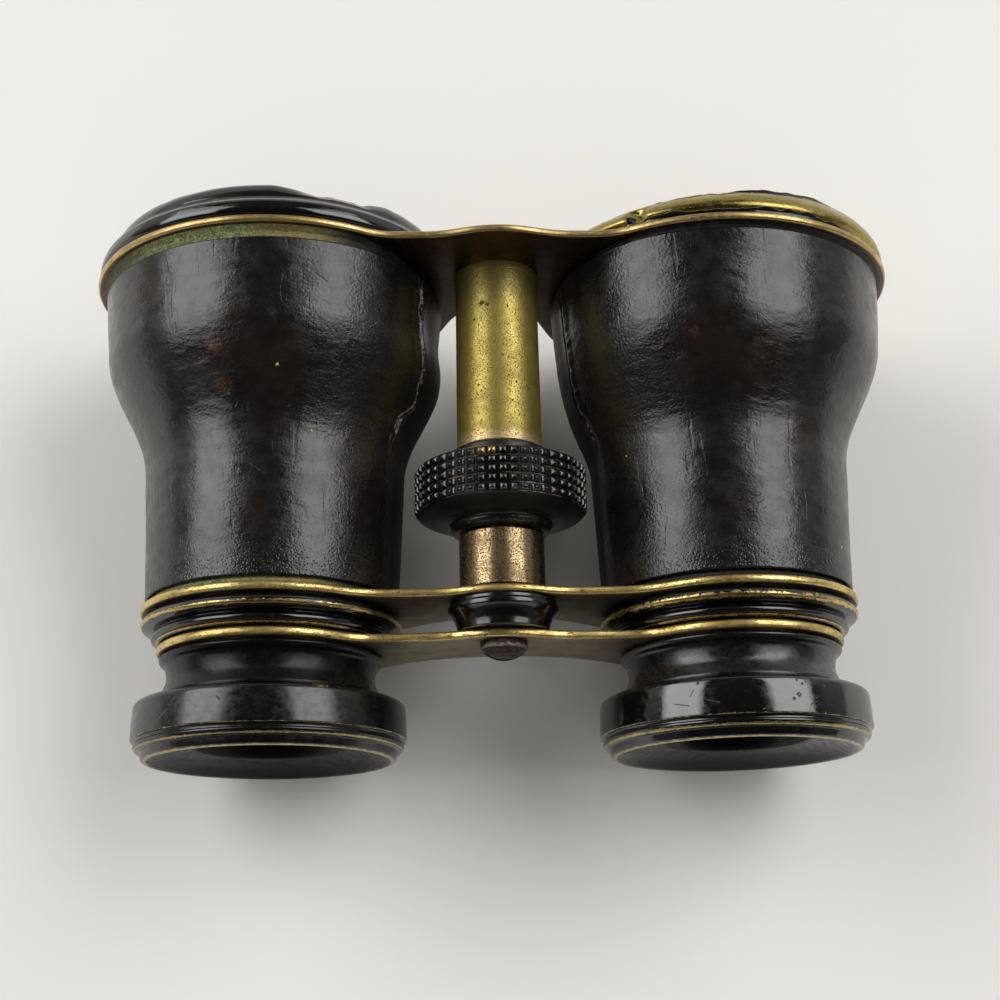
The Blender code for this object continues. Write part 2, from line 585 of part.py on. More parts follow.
def slotted_screw(name, head_radius, head_height, shank_radius, shank_end, face, way, recipe, place, parent):
    """Domed screw whose head stands on a bridge's face; way is +1 forwards or -1 backwards."""
    profile = [(0.0, shank_end), (shank_radius, shank_end), (shank_radius, face), (head_radius, face)]
    for height_share, radius_share in (SCREW_EDGE_SHARES, SCREW_SHOULDER_SHARES):
        profile.append((head_radius * radius_share, face + way * head_height * height_share))
    profile.append((0.0, face + way * head_height))
    screw = add_object(name, turned(profile, COLUMN_FACETS, closed=False), recipe, place, parent)

    bm = bmesh.new()
    bmesh.ops.create_cube(bm, size=1.0)
    bmesh.ops.scale(bm, verts=bm.verts, vec=(3 * head_radius, 2 * SLOT_DEPTH, SLOT_WIDTH))
    bmesh.ops.rotate(bm, verts=bm.verts, cent=(0, 0, 0), matrix=Matrix.Rotation(radians(SLOT_TURN), 3, "Y"))
    cutter = add_object(name + "_slot", bm, recipe, (0.0, face + way * head_height, 0.0), screw)
    cutter.hide_render = True
    cutter.display_type = "WIRE"
    cut = screw.modifiers.new("slot", "BOOLEAN")
    cut.operation = "DIFFERENCE"
    cut.object = cutter
    return screw


def screws(place, fixed, carriage):
    slotted_screw("column_screw", COLUMN_SCREW_HEAD_RADIUS, COLUMN_SCREW_HEAD_HEIGHT, JOURNAL_RADIUS,
                  COLUMN_SCREW_END, CELL_BASE, 1, BRASS, place, fixed)
    slotted_screw("bridge_screw", BRIDGE_SCREW_HEAD_RADIUS, BRIDGE_SCREW_HEAD_HEIGHT,
                  BRIDGE_SCREW_SHANK_RADIUS, BRIDGE_SCREW_END, NECK_TOP, -1, DARK_STEEL, place, carriage)


def rest_on_floor(root):
    """Tilt the glasses onto the front rings and the eyecups, with the origin under their middle."""
    drop = FRONT_RING_RADIUS - EYECUP_RADIUS
    root.rotation_euler.x = atan2(drop, FRONT_LOW - EYECUP_WALL_FOOT)
    bpy.context.view_layer.update()
    solids = [thing for thing in bpy.data.objects if thing.type == "MESH" and not thing.hide_render]
    corners = [thing.matrix_world @ vert.co for thing in solids for vert in thing.data.vertices]
    rear = min(corner.y for corner in corners)
    front = max(corner.y for corner in corners)
    bottom = min(corner.z for corner in corners)
    root.location = (0.0, -(rear + front) / 2, -bottom)
    bpy.context.view_layer.update()


def build():
    clear_scene()
    root = add_empty("glasses", (0.0, 0.0, 0.0), None)
    carriage = add_empty("eyepiece_carriage", (0.0, 0.0, 0.0), root)
    column = (0.0, 0.0, COLUMN_RISE)
    for side, sign in (("left_", -1), ("right_", 1)):
        place = (sign * EYE_SPACING / 2, 0.0, 0.0)
        barrel_tube(side, place, root)
        leather_cover(side, place, root)
        seat = objective_cell(side, place, root)
        objective_lenses(side, seat, place, root)
        draw_collar(side, place, root)
        draw_tube(side, place, carriage)
        eyepiece_neck(side, place, carriage)
        lens_seat = eyecup(side, place, carriage)
        eye_lens(side, lens_seat, place, carriage)
    bridges(root, carriage)
    column_pieces(column, root)
    focus_wheel(column, root)
    focus_spindle(column, carriage)
    screws(column, root, carriage)
    rest_on_floor(root)


build()
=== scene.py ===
"""Looks of the antique field glasses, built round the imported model.

Shapes are worked out in millimetres in the glasses' own frame: X across the two barrels, Y along them
with 0 in the middle of the eyepiece bridge, and Z up from the plane of the barrels' axes. Each finished
mesh is then tilted onto the floor, as the glasses rest.
"""

from math import atan2, cos, degrees, hypot, pi, radians, sin, sqrt

import bmesh
import bpy
from mathutils import Euler, Matrix, Vector, noise
from mathutils.geometry import interpolate_bezier


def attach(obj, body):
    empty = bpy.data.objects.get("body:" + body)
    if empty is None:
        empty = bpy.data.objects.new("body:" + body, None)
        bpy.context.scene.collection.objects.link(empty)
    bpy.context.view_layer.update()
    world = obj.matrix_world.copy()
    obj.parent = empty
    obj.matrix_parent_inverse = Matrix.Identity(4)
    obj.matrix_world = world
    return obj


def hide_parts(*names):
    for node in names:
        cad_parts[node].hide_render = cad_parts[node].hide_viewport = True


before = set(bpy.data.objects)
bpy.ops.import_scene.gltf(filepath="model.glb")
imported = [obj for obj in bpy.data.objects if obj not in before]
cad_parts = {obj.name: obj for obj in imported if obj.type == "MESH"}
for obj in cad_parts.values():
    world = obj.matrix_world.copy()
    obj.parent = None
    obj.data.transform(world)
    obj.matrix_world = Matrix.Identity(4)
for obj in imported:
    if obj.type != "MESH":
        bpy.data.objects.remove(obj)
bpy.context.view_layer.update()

# Rest position
MM = 0.001
TILT = radians(6.782821)
REST_PLACE = Vector((0.0, -22.931, 20.019))

# Whole object, in millimetres
HALF_SPACING = 32.0
COLUMN_RISE = 8.6
LEAD = 6.5

# Barrel and leather
LEATHER_REAR = 6.9
LEATHER_FRONT = 52.0
LEATHER_ENDS = {"left": 51.75, "right": 52.75}
SHOULDER_START = 25.5
SHOULDER_END = 42.5
REAR_RADIUS = 17.6
WAIST_RADIUS = 18.4
SHOULDER_RADIUS = 24.4
FRONT_RADIUS = 25.2
LEATHER_THICKNESS = 0.6
FLAT_SIDES = {"left": (1.2, 38.0, 47.0), "right": (1.6, 31.0, 42.0)}
FLAT_SPREAD, FLARE_SPREAD = (62, 8), (66, 34)
TUBE_DEPTH = 0.9
TUBE_WALL = 0.8

# Barrel's ends: the bare band at the rear, and the seat and spigot at the front bridge
BAND_START, BAND_END = 6.02, 6.6
SEAT, SEAT_RADIUS = 53.28, 25.7
SPIGOT_START, SPIGOT_END = 48.7, 54.4
SPIGOT_RADIUS, SPIGOT_BORE = 22.6, 21.9
TUBE_ROWS = 40
BORE_ROWS = 36

# Leather surface
LEATHER_ROWS = 150
LEATHER_INNER_ROWS = 14
LEATHER_END_ROUNDING = 0.25
DENT_HEIGHT = 0.13
CREASE_HEIGHT = 0.035
SEAM_OPENS, SEAM_CLOSES = (26.0, 32.0), (52.5, 49.0)
SEAM_LIFT = 0.33
CRACK_DEPTH = 0.45
SEAM_SWEEP = 40
SEAM_STEPS = 128
PLAIN_STEPS = 208
SEAM_ANGLES = {"left": 26.0, "right": 163.0}
SEAM_LINES = {"left": ((6.9, 27.0), (31.3, 27.0), (34.3, 20.5), (37.3, 23.5), (42.5, 28.0), (48.3, 29.0),
                       (52.5, 31.0)),
              "right": ((6.9, 160.0), (31.3, 161.7), (34.1, 165.5), (36.9, 165.0), (40.9, 162.2),
                        (52.5, 162.3))}

# Bridges: low face, thickness, ring radius, crest, dip, arch, and where the waist joins the ring
FRONT_PLATE = (53.3, 1.1, 26.5, 23.3, 21.4, -1.5, 60, 38)
REAR_PLATE = (4.9, 1.1, 18.2, 15.2, 12.8, -1.0, 56, 42)
MOVING_PLATE = (-0.6, 1.2, 15.8, 12.7, 10.3, -1.0, 50, 46)
DIP_OFFSET = 10.5
CURVE_REACH = 0.42
PLATE_ROUNDING = 0.46

# Turned sections: radius, station and rounding of each corner
LEFT_CELL = ((20.9, 49.0, 0), (21.6, 49.0, 0.15), (21.6, 54.45, 0), (25.75, 54.45, 0.12),
             (26.2, 54.8, 0.25), (26.38, 55.3, 0.3), (26.2, 56.55, 0.3), (25.35, 57.42, 0.3),
             (24.9, 57.65, 0.1), (24.75, 57.95, 0.2), (24.65, 58.7, 0.4), (24.2, 59.7, 0.5),
             (23.5, 60.37, 0.3), (22.3, 60.37, 0.2), (21.6, 59.2, 0.3), (20.0, 58.0, 0.1),
             (20.0, 57.3, 0), (20.9, 57.3, 0))
RIGHT_CELL = ((20.9, 49.0, 0), (21.6, 49.0, 0.15), (21.6, 54.45, 0), (25.7, 54.45, 0.2),
              (25.85, 54.95, 0.2), (26.28, 55.35, 0.3), (26.2, 56.1, 0.4), (25.6, 57.0, 0.5),
              (24.85, 57.8, 0.3), (24.1, 57.95, 0.1), (23.9, 58.5, 0.2), (22.4, 58.5, 0.3),
              (21.6, 58.2, 0.3), (20.0, 57.9, 0.1), (20.0, 57.3, 0), (20.9, 57.3, 0))
COLLAR = ((13.5, 0.9, 0.1), (15.6, 0.9, 0.1), (15.85, 1.2, 0.12), (16.55, 1.35, 0.3), (16.7, 2.0, 0.35),
          (16.05, 2.5, 0.15), (16.9, 2.7, 0.12), (17.85, 3.05, 0.2), (18.1, 3.5, 0.22),
          (17.8, 4.15, 0.3), (17.3, 4.6, 0.15), (15.6, 4.6, 0), (15.6, 14.0, 0.15), (13.5, 14.0, 0.15))
DRAW = ((12.4, -4.0, 0.1), (13.2, -4.0, 0.1), (13.2, 30.0, 0.15), (12.4, 30.0, 0.15))
NECK = ((13.5, -0.9, 0), (15.1, -0.9, 0.12), (15.45, -1.25, 0.18), (15.2, -1.7, 0.2), (14.6, -2.1, 0.3),
        (14.25, -3.2, 0.9), (14.3, -4.4, 0.9), (14.75, -5.6, 0.7), (15.15, -6.3, 0.3), (15.1, -6.7, 0.1),
        (13.5, -6.7, 0))
CUP = ((13.2, -4.3, 0.1), (13.2, -6.98, 0), (15.6, -6.98, 0.1), (16.1, -7.2, 0.12), (17.9, -7.22, 0.25),
       (18.5, -7.7, 0.35), (18.62, -9.4, 0.6), (18.7, -12.25, 0.1), (18.22, -12.4, 0.08),
       (18.15, -12.75, 0.1), (18.35, -13.05, 0.15), (18.08, -13.6, 0.12), (17.45, -13.8, 0.1),
       (17.35, -14.25, 0.2), (17.2, -14.75, 0.12), (16.8, -15.0, 0.12), (16.1, -14.97, 0.3),
       (14.6, -14.0, 0.9), (12.4, -13.25, 0.7), (10.3, -12.95, 0.2), (9.9, -12.3, 0.15),
       (9.4, -10.8, 0.2), (8.2, -10.4, 0.1), (8.2, -9.5, 0), (9.4, -9.5, 0), (9.4, -4.3, 0.1))
GLASS_RING = ((19.8, 51.2, 0.1), (20.6, 51.2, 0.1), (20.6, 52.7, 0.1), (19.8, 52.7, 0.1))
EYE_RING = ((7.8, -5.5, 0.1), (9.1, -5.5, 0.1), (9.1, -4.5, 0.1), (7.8, -4.5, 0.1))
BOSS = ((3.4, 0.65, 0.1), (6.25, 0.65, 0.12), (6.3, 1.2, 0.3), (6.5, 2.2, 0.9), (7.05, 2.95, 0.4),
        (7.5, 3.3, 0.12), (7.55, 3.9, 0.15), (7.25, 4.15, 0.1), (7.25, 4.6, 0.1), (4.75, 4.6, 0),
        (4.75, 10.0, 0.15), (3.4, 10.0, 0.15))
SLEEVE = ((5.05, 6.3, 0.1), (5.85, 6.3, 0.1), (5.85, 14.0, 0.2), (5.05, 14.0, 0.1))
TUBE = ((5.05, 26.4, 0.1), (5.95, 26.4, 0.2), (5.85, 52.0, 0.05), (6.0, 52.15, 0.06), (6.0, 53.3, 0.05),
        (5.05, 53.3, 0.1))
SCREW_ROOT, SCREW_CREST = 2.1, 2.6
SCREW_STARTS, SCREW_TURNS, SCREW_STEPS = 3, 6, 36
SCREW_LOW, SCREW_HIGH = 14.25, 44.0
NUT = ((2.9, 14.6, 0.1), (4.75, 14.6, 0.1), (4.75, 33.6, 0.1), (2.9, 33.6, 0.1))
SHANK = ((0.0, 0.9, 0), (3.1, 0.9, 0.15), (3.1, 14.3, 0.3), (0.0, 14.3, 0))
COLUMN_BOLT = ((0.0, 46.4, 0), (4.75, 46.4, 0.3), (4.75, 54.7, 0), (5.6, 54.7, 0.1), (5.6, 55.35, 0.2),
               (4.5, 56.0, 0.8), (0.0, 56.3, 0))
BRIDGE_BOLT = ((0.0, 7.0, 0), (1.6, 7.0, 0.2), (1.6, -0.62, 0), (3.2, -0.62, 0.08), (3.28, -1.5, 0.1),
               (2.95, -1.85, 0.3), (1.8, -2.75, 0.8), (0.0, -3.15, 0))

# Focusing wheel
WHEEL_TEETH = 50
WHEEL_ROWS = 5
WHEEL_RADIUS = 11.5
RIM_LOW = 17.15
RIM_TOP = 23.45
GROOVE_HALF = 0.12
STEEP_SLOPE, STEEP_HEIGHT = 0.22, 0.33
PEAK_SLOPE, PEAK_HEIGHT = 0.25, 0.13
WHEEL_FOOT = ((5.05, 14.3, 0.1), (6.2, 14.3, 0.3), (6.95, 14.75, 0.4), (7.05, 15.45, 0.35),
              (7.8, 15.75, 0.5), (11.3, 17.0, 0.1))
WHEEL_HEAD = ((11.2, 23.6, 0.1), (7.2, 23.6, 0.3), (6.9, 23.9, 0.2), (6.9, 26.1, 0.35),
              (5.05, 26.1, 0.1))

# Steps round the turned pieces, and how near two points are made one
FACETS = 144
CELL_FACETS = 288
SMALL_FACETS = 96
PLAIN_FACETS = 48
LENS_FACETS = 72
LENS_STEPS = 12
ROUNDING_SEGMENTS = 5
MERGED_WITHIN = 0.0005

# Room: the floor's reach, and the lamps' places, widths, heights and watts for each square metre
FLOOR_REACH = 2.0
FLOOR_COLOUR = (0.94, 0.918, 0.87)
MIDDLE = Vector((0.0, 0.0, 0.03))
LAMPS = {"left_lamp": Vector((-0.59, 0.16, 0.52)), "right_lamp": Vector((0.475, 0.16, 0.635))}
SKIRT_SIZES = (0.82, 0.52, 6.8)
CORE_SIZES = (0.44, 0.42, 5.0)
CORE_NEARER = 0.97
FILL_PLACE = Vector((0.0, -0.5, 0.6))
FILL_SIZES = (0.7, 0.4, 3.0)

# Camera
CAMERA_PLACE = (-0.00713, -0.0911691, 0.2199288)
CAMERA_TURN = (24.63602, -1.479467, -1.416651)
CAMERA_LENS = 54.126


# Placing and shading

def settle(bm):
    """Tilt a shape made in millimetres onto the floor, in metres."""
    turn = Matrix.Rotation(TILT, 4, "X")
    bm.transform(Matrix.Scale(MM, 4) @ Matrix.Translation(REST_PLACE) @ turn)


def mesh_of(name, bm):
    """Turn a shape into a mesh and drop the shape."""
    mesh = bpy.data.meshes.new(name)
    bm.to_mesh(mesh)
    bm.free()
    return mesh


def placed(name, data):
    """A new object in the scene."""
    thing = bpy.data.objects.new(name, data)
    bpy.context.scene.collection.objects.link(thing)
    return thing


def add_piece(name, bm, finish, body, node, sharp=30):
    """Give a finished shape its place, finish and body, and let it stand for its solid."""
    settle(bm)
    mesh = mesh_of(name, bm)
    mesh.materials.append(finish)
    mesh.shade_smooth()
    mesh.set_sharp_from_angle(angle=radians(sharp))
    piece = placed(name, mesh)
    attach(piece, body)
    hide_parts(node)
    return piece


def smoothly(value, low, high):
    """0 below low, 1 above high and an even curve between them."""
    share = min(max((value - low) / (high - low), 0.0), 1.0)
    return share * share * (3 - 2 * share)


class Finish:
    """A material in the making, with coordinates in millimetres from a turned piece's axis."""

    def __init__(self, name, across=0.0, rise=0.0):
        self.made = bpy.data.materials.new(name)
        self.made.use_nodes = True
        self.tree = self.made.node_tree
        self.shader = self.tree.nodes["Principled BSDF"]
        back = Matrix.Rotation(-TILT, 3, "X") @ REST_PLACE + Vector((across, 0.0, rise))
        object_place = self.add("ShaderNodeTexCoord", {}).outputs["Object"]
        sockets = {"Vector": object_place, "Location": -back, "Rotation": (-TILT, 0, 0),
                   "Scale": (1 / MM,) * 3}
        self.place = self.add("ShaderNodeMapping", sockets).outputs[0]

    def give(self, socket, value):
        """Link a value to a socket, or set it."""
        if isinstance(value, bpy.types.NodeSocket):
            self.tree.links.new(value, socket)
        else:
            socket.default_value = (*value, 1.0) if socket.type == "RGBA" else value

    def add(self, kind, sockets, **settings):
        node = self.tree.nodes.new(kind)
        for key, value in settings.items():
            setattr(node, key, value)
        for key, value in sockets.items():
            self.give(node.inputs[key], value)
        return node

    def maths(self, operation, first, second=0.0):
        return self.add("ShaderNodeMath", {0: first, 1: second}, operation=operation).outputs[0]

    def vectors(self, operation, *operands, output="Value"):
        node = self.add("ShaderNodeVectorMath", dict(enumerate(operands)), operation=operation)
        return node.outputs[output]

    def plus(self, first, second):
        return self.maths("ADD", first, second)

    def minus(self, first, second):
        return self.maths("SUBTRACT", first, second)

    def times(self, first, second):
        return self.maths("MULTIPLY", first, second)

    def larger(self, first, second):
        return self.maths("MAXIMUM", first, second)

    def off_axis(self, x, z):
        """Distance from the axis of a turned piece."""
        return self.maths("SQRT", self.plus(self.times(x, x), self.times(z, z)))

    def axis(self):
        """The point's three coordinates, one by one."""
        return self.add("ShaderNodeSeparateXYZ", {0: self.place}).outputs

    def grain(self, scale, detail=3.0, roughness=0.5, stretch=(1, 1, 1), turn=(0, 0, 0),
              shift=(0, 0, 0)):
        """Noise between 0 and 1, with scale in grains per millimetre."""
        mapped = {"Vector": self.place, "Scale": stretch, "Rotation": turn, "Location": shift}
        place = self.add("ShaderNodeMapping", mapped).outputs[0]
        sockets = {"Vector": place, "Scale": scale, "Detail": detail, "Roughness": roughness}
        return self.add("ShaderNodeTexNoise", sockets).outputs[0]

    def pebbles(self, scale):
        """Distance to the nearest of scattered points."""
        return self.add("ShaderNodeTexVoronoi", {"Vector": self.place, "Scale": scale}).outputs[0]

    def fit(self, value, low, high, bottom=0.0, top=1.0):
        """The value, eased from one range into another."""
        sockets = {0: value, 1: low, 2: high, 3: bottom, 4: top}
        return self.add("ShaderNodeMapRange", sockets, interpolation_type="SMOOTHSTEP").outputs[0]

    def mix_values(self, share, first, second):
        """A value between two values."""
        return self.add("ShaderNodeMix", {0: share, 2: first, 3: second}).outputs[0]

    def mix(self, share, first, second):
        """A colour between two colours."""
        sockets = {0: share, 6: first, 7: second}
        return self.add("ShaderNodeMix", sockets, data_type="RGBA").outputs[2]

    def kept(self, name):
        """A value that the mesh carries at each point."""
        return self.add("ShaderNodeAttribute", {}, attribute_name=name).outputs["Fac"]

    def spot(self, centre, radius, soft=0.5):
        """1 within a ragged spot round a point, 0 outside it."""
        away = self.vectors("DISTANCE", self.place, centre)
        ragged = self.times(self.grain(1.3 / radius, 4.0, 0.75), 2.4 * radius)
        return self.fit(self.plus(away, ragged), 2.2 * radius, (2.2 - soft) * radius)

    def scratch(self, centre, way, length, width):
        """1 along a short fine line through a point, 0 beside it."""
        way = Vector(way).normalized()
        off = self.vectors("SUBTRACT", self.place, centre, output="Vector")
        along = self.vectors("DOT_PRODUCT", off, way)
        away = self.vectors("LENGTH", self.vectors("CROSS_PRODUCT", off, way, output="Vector"))
        ragged = self.times(self.grain(2.5, 3.0, 0.7), 1.4 * width)
        beside = self.fit(self.plus(away, ragged), 1.7 * width, 1.0 * width)
        return self.times(beside, self.fit(self.maths("ABSOLUTE", along), 0.5 * length, 0.35 * length))

    def most(self, values):
        """The largest of several masks."""
        best = values[0]
        for value in values[1:]:
            best = self.larger(best, value)
        return best

    def spots(self, places, soft):
        """Ragged spots, each given by its middle and radius."""
        return self.most([self.spot(centre, radius, soft) for centre, radius in places])

    def scratches(self, lines):
        return self.most([self.scratch(*line) for line in lines])

    def facing(self, way):
        """How squarely the surface faces along a direction of the glasses' own frame, from 0 to 1."""
        turned_way = Matrix.Rotation(TILT, 3, "X") @ Vector(way)
        normal = self.add("ShaderNodeTexCoord", {}).outputs["Normal"]
        return self.maths("ABSOLUTE", self.vectors("DOT_PRODUCT", normal, turned_way))

    def raise_by(self, heights):
        """Bump from pairs of a height and its depth in millimetres, one on the other."""
        normal = None
        for height, depth in heights:
            sockets = {"Height": height, "Distance": depth * MM, "Strength": 1.0}
            if normal:
                sockets["Normal"] = normal
            normal = self.add("ShaderNodeBump", sockets).outputs[0]
        self.tree.links.new(normal, self.shader.inputs["Normal"])

    def wear(self, **values):
        """Set or link the shader's own sockets."""
        for key, value in values.items():
            self.give(self.shader.inputs[key.replace("_", " ")], value)
        return self.made


# Finishes. Brass tones come in pairs, bright then dull.
GOLD_WORN = ((0.74, 0.56, 0.21), (0.48, 0.35, 0.12))
OLIVE_WORN = ((0.46, 0.37, 0.11), (0.27, 0.21, 0.06))
PALE_WORN = ((0.56, 0.46, 0.20), (0.34, 0.27, 0.10))


def leather_finish(side, across, red_spots, flakes, scratches, crepe_side, dry_side):
    """Near-black leather, polished and rubbed brown, dry near the column and coarser at its rear end."""
    f = Finish(side + "_leather", across)
    x, station, z = f.axis()
    reach = f.off_axis(x, z)
    cloudy = f.grain(0.16, 3.0, 0.55)
    rubbed = f.fit(f.grain(0.11, 4.0, 0.6, shift=(7, 3, 1)), 0.46, 0.72)
    colour = f.mix(cloudy, (0.0045, 0.0042, 0.0046), (0.0095, 0.0078, 0.0064))
    colour = f.mix(f.times(rubbed, 0.7), colour, (0.019, 0.0115, 0.0075))
    fine_stain = f.fit(f.grain(1.1, 5.0, 0.7, stretch=(1, 0.5, 1)), 0.60, 0.80)
    colour = f.mix(f.times(fine_stain, 0.35), colour, (0.030, 0.022, 0.013))
    for centre, radius, tone in red_spots:
        patch = f.times(f.spot(centre, radius, 1.0), f.fit(f.grain(2.5, 4.0, 0.7), 0.35, 0.65))
        colour = f.mix(f.times(patch, 0.75), colour, tone)
    colour = f.mix(f.spots(flakes, 0.3), colour, (0.60, 0.45, 0.10))
    # The torn edge's pale tan is partly the raw leather's own colour and partly a painted highlight on
    # the lifted edge.
    frayed = f.fit(f.grain(1.9, 4.0, 0.7, shift=(2, 2, 9)), 0.30, 0.52)
    colour = f.mix(f.times(f.kept("torn_lit_edge"), frayed), colour, (0.36, 0.28, 0.20))
    colour = f.mix(f.kept("crack"), colour, (0.004, 0.003, 0.002))
    scored = f.scratches(scratches)
    colour = f.mix(f.times(scored, 0.5), colour, (0.055, 0.048, 0.038))

    crepe = f.times(f.grain(2.3, 3.0, 0.55), f.fit(x, *crepe_side, 0.6, 1.8))
    pebble = f.fit(f.pebbles(2.6), 0.05, 0.55)
    rear = f.fit(station, 14.0, 7.0)
    creases = f.grain(0.42, 4.0, 0.6, stretch=(0.7, 1.5, 0.7), turn=(0.0, 0.0, 0.45))
    hairs = f.fit(f.grain(0.6, 2.0, 0.5, stretch=(1.0, 0.16, 1.0), turn=(0.0, 0.0, 0.7)), 0.62, 0.68)
    pebble_height = f.times(pebble, f.plus(f.times(rear, 0.85), 0.15))
    f.raise_by([(creases, 0.12), (crepe, 0.040), (pebble_height, 0.034), (hairs, -0.014),
                (scored, -0.06)])
    polish = f.fit(f.grain(0.35, 4.0, 0.6, shift=(3, 9, 5)), 0.28, 0.72, 0.18, 0.33)
    dry = f.fit(f.maths("DIVIDE", x, reach), *dry_side)
    level = f.mix_values(dry, 0.64, 0.18)
    return f.wear(Base_Color=colour, Roughness=f.mix_values(dry, polish, 0.5), Specular_IOR_Level=level)


def japan_finish(name, across=0.0, rise=0.0, smudged=0.10, shine=0.9, brass=GOLD_WORN, chipped=0.8,
                 dish=False, flaked=(), dings=(), scratches=()):
    """Gloss black lacquer over brass, worn along its edges and chipped. A dish is duller inside."""
    f = Finish(name, across, rise)
    ragged = f.plus(f.grain(0.8, 3.0, 0.6), f.times(f.grain(3.2, 4.0, 0.7), 0.5))
    edge = f.plus(f.kept("wear"), f.times(f.minus(ragged, 0.75), chipped))
    bare = f.fit(edge, 0.62, 0.76)
    chips = f.fit(f.grain(1.7, 5.0, 0.65, shift=(5, 2, 8)), 0.74, 0.755)
    bare = f.most([bare, chips] + [f.spot(centre, radius, 0.4) for centre, radius in flaked])
    metal = f.mix(f.grain(2.0, 4.0), *brass)
    dark_spots = f.fit(f.grain(3.0, 4.0, 0.7, shift=(2, 6, 4)), 0.58, 0.68)
    metal = f.mix(f.times(dark_spots, 0.7), metal, (0.03, 0.02, 0.01))
    lacquer = f.mix(f.grain(0.4), (0.0025, 0.0025, 0.003), (0.005, 0.0045, 0.0045))
    smears = f.grain(0.7, 6.0, 0.7, stretch=(1, 1.6, 1))
    hairs = f.fit(f.grain(2.2, 3.0, 0.6, stretch=(0.25, 1.3, 0.25), turn=(0.0, 0.0, 0.5)), 0.60, 0.75)
    rough = f.plus(f.fit(smears, 0.36, 0.66, smudged, smudged + 0.15), f.times(hairs, 0.14))
    rough = f.plus(rough, f.times(bare, 0.16))
    heights = [(f.grain(0.9, 2.0), 0.012), (f.grain(7.0, 3.0), 0.002), (bare, -0.03), (hairs, -0.004)]
    if dings:
        struck = f.spots(dings, 0.6)
        heights.append((f.times(struck, f.grain(5.0, 3.0, 0.6)), -0.10))
        rough = f.plus(rough, f.times(struck, 0.1))
    if scratches:
        scored = f.scratches(scratches)
        heights.append((scored, -0.07))
        rough = f.plus(rough, f.times(scored, 0.25))
        lacquer = f.mix(f.times(scored, 0.6), lacquer, (0.07, 0.07, 0.066))
    level = shine
    if dish:
        x, _, z = f.axis()
        inside = f.fit(f.off_axis(x, z), 16.55, 16.3)
        level = f.times(f.minus(1.0, f.times(inside, 0.72)), shine)
        rough = f.plus(rough, f.times(inside, 0.16))
    f.raise_by(heights)
    return f.wear(Base_Color=f.mix(bare, lacquer, metal), Metallic=bare, Roughness=rough,
                  Specular_IOR_Level=level)


def brass_finish(name, tones, across=0.0, rise=0.0, rough=(0.30, 0.50), pitting=0.66):
    """Bare brass with soft tarnish and dark pinpricks. The tones are bright, dull and dark."""
    f = Finish(name, across, rise)
    cloud = f.grain(0.3, 4.0, 0.6)
    colour = f.mix(f.fit(cloud, 0.35, 0.7), tones[0], tones[1])
    speckle = f.fit(f.grain(5.5, 3.0, 0.6), pitting - 0.10, pitting - 0.02)
    pits = f.fit(f.grain(2.2, 5.0, 0.7, shift=(4, 4, 4)), pitting, pitting + 0.03)
    dark = f.larger(f.times(speckle, 0.85), pits)
    colour = f.mix(dark, colour, tones[2])
    f.raise_by([(f.grain(1.6, 4.0), 0.01), (pits, -0.05), (speckle, -0.015)])
    level = f.plus(f.fit(cloud, 0.3, 0.75, *rough), f.times(dark, 0.25))
    return f.wear(Base_Color=colour, Metallic=1.0, Roughness=level)


def plate_finish(name, bright, dull, face, face_rough, pitting=0.59, specked=0.6):
    """A bridge: rubbed bright on its rounded edge, dull on its flat faces."""
    f = Finish(name)
    flat = f.fit(f.facing((0, 1, 0)), 0.80, 0.97)
    cloud = f.grain(0.22, 4.0, 0.6)
    edge = f.mix(f.fit(cloud, 0.35, 0.68), bright, dull)
    pits = f.fit(f.grain(1.9, 5.0, 0.75, stretch=(0.6, 1.6, 1)), pitting, pitting + 0.04)
    specks = f.fit(f.grain(4.5, 3.0, 0.6), 0.56, 0.64)
    dark = f.larger(f.times(pits, 0.9), f.times(specks, specked))
    brown = f.fit(f.grain(0.45, 5.0, 0.7, shift=(6, 1, 3)), 0.50, 0.68)
    edge = f.mix(f.times(brown, 0.9 * specked), edge, (0.20, 0.115, 0.045))
    edge = f.mix(dark, edge, (0.045, 0.028, 0.012))
    stain = f.grain(0.5, 5.0, 0.65)
    side = f.mix(f.fit(stain, 0.35, 0.75), face, tuple(value * 0.6 for value in face))
    colour = f.mix(flat, edge, side)
    polished = f.fit(cloud, 0.3, 0.7, 0.27, 0.40)
    level = f.plus(polished, f.times(flat, f.minus(face_rough, polished)))
    f.raise_by([(f.grain(0.8, 3.0, stretch=(0.5, 2.0, 0.5)), 0.02), (dark, -0.04)])
    return f.wear(Base_Color=colour, Metallic=0.96, Roughness=level)


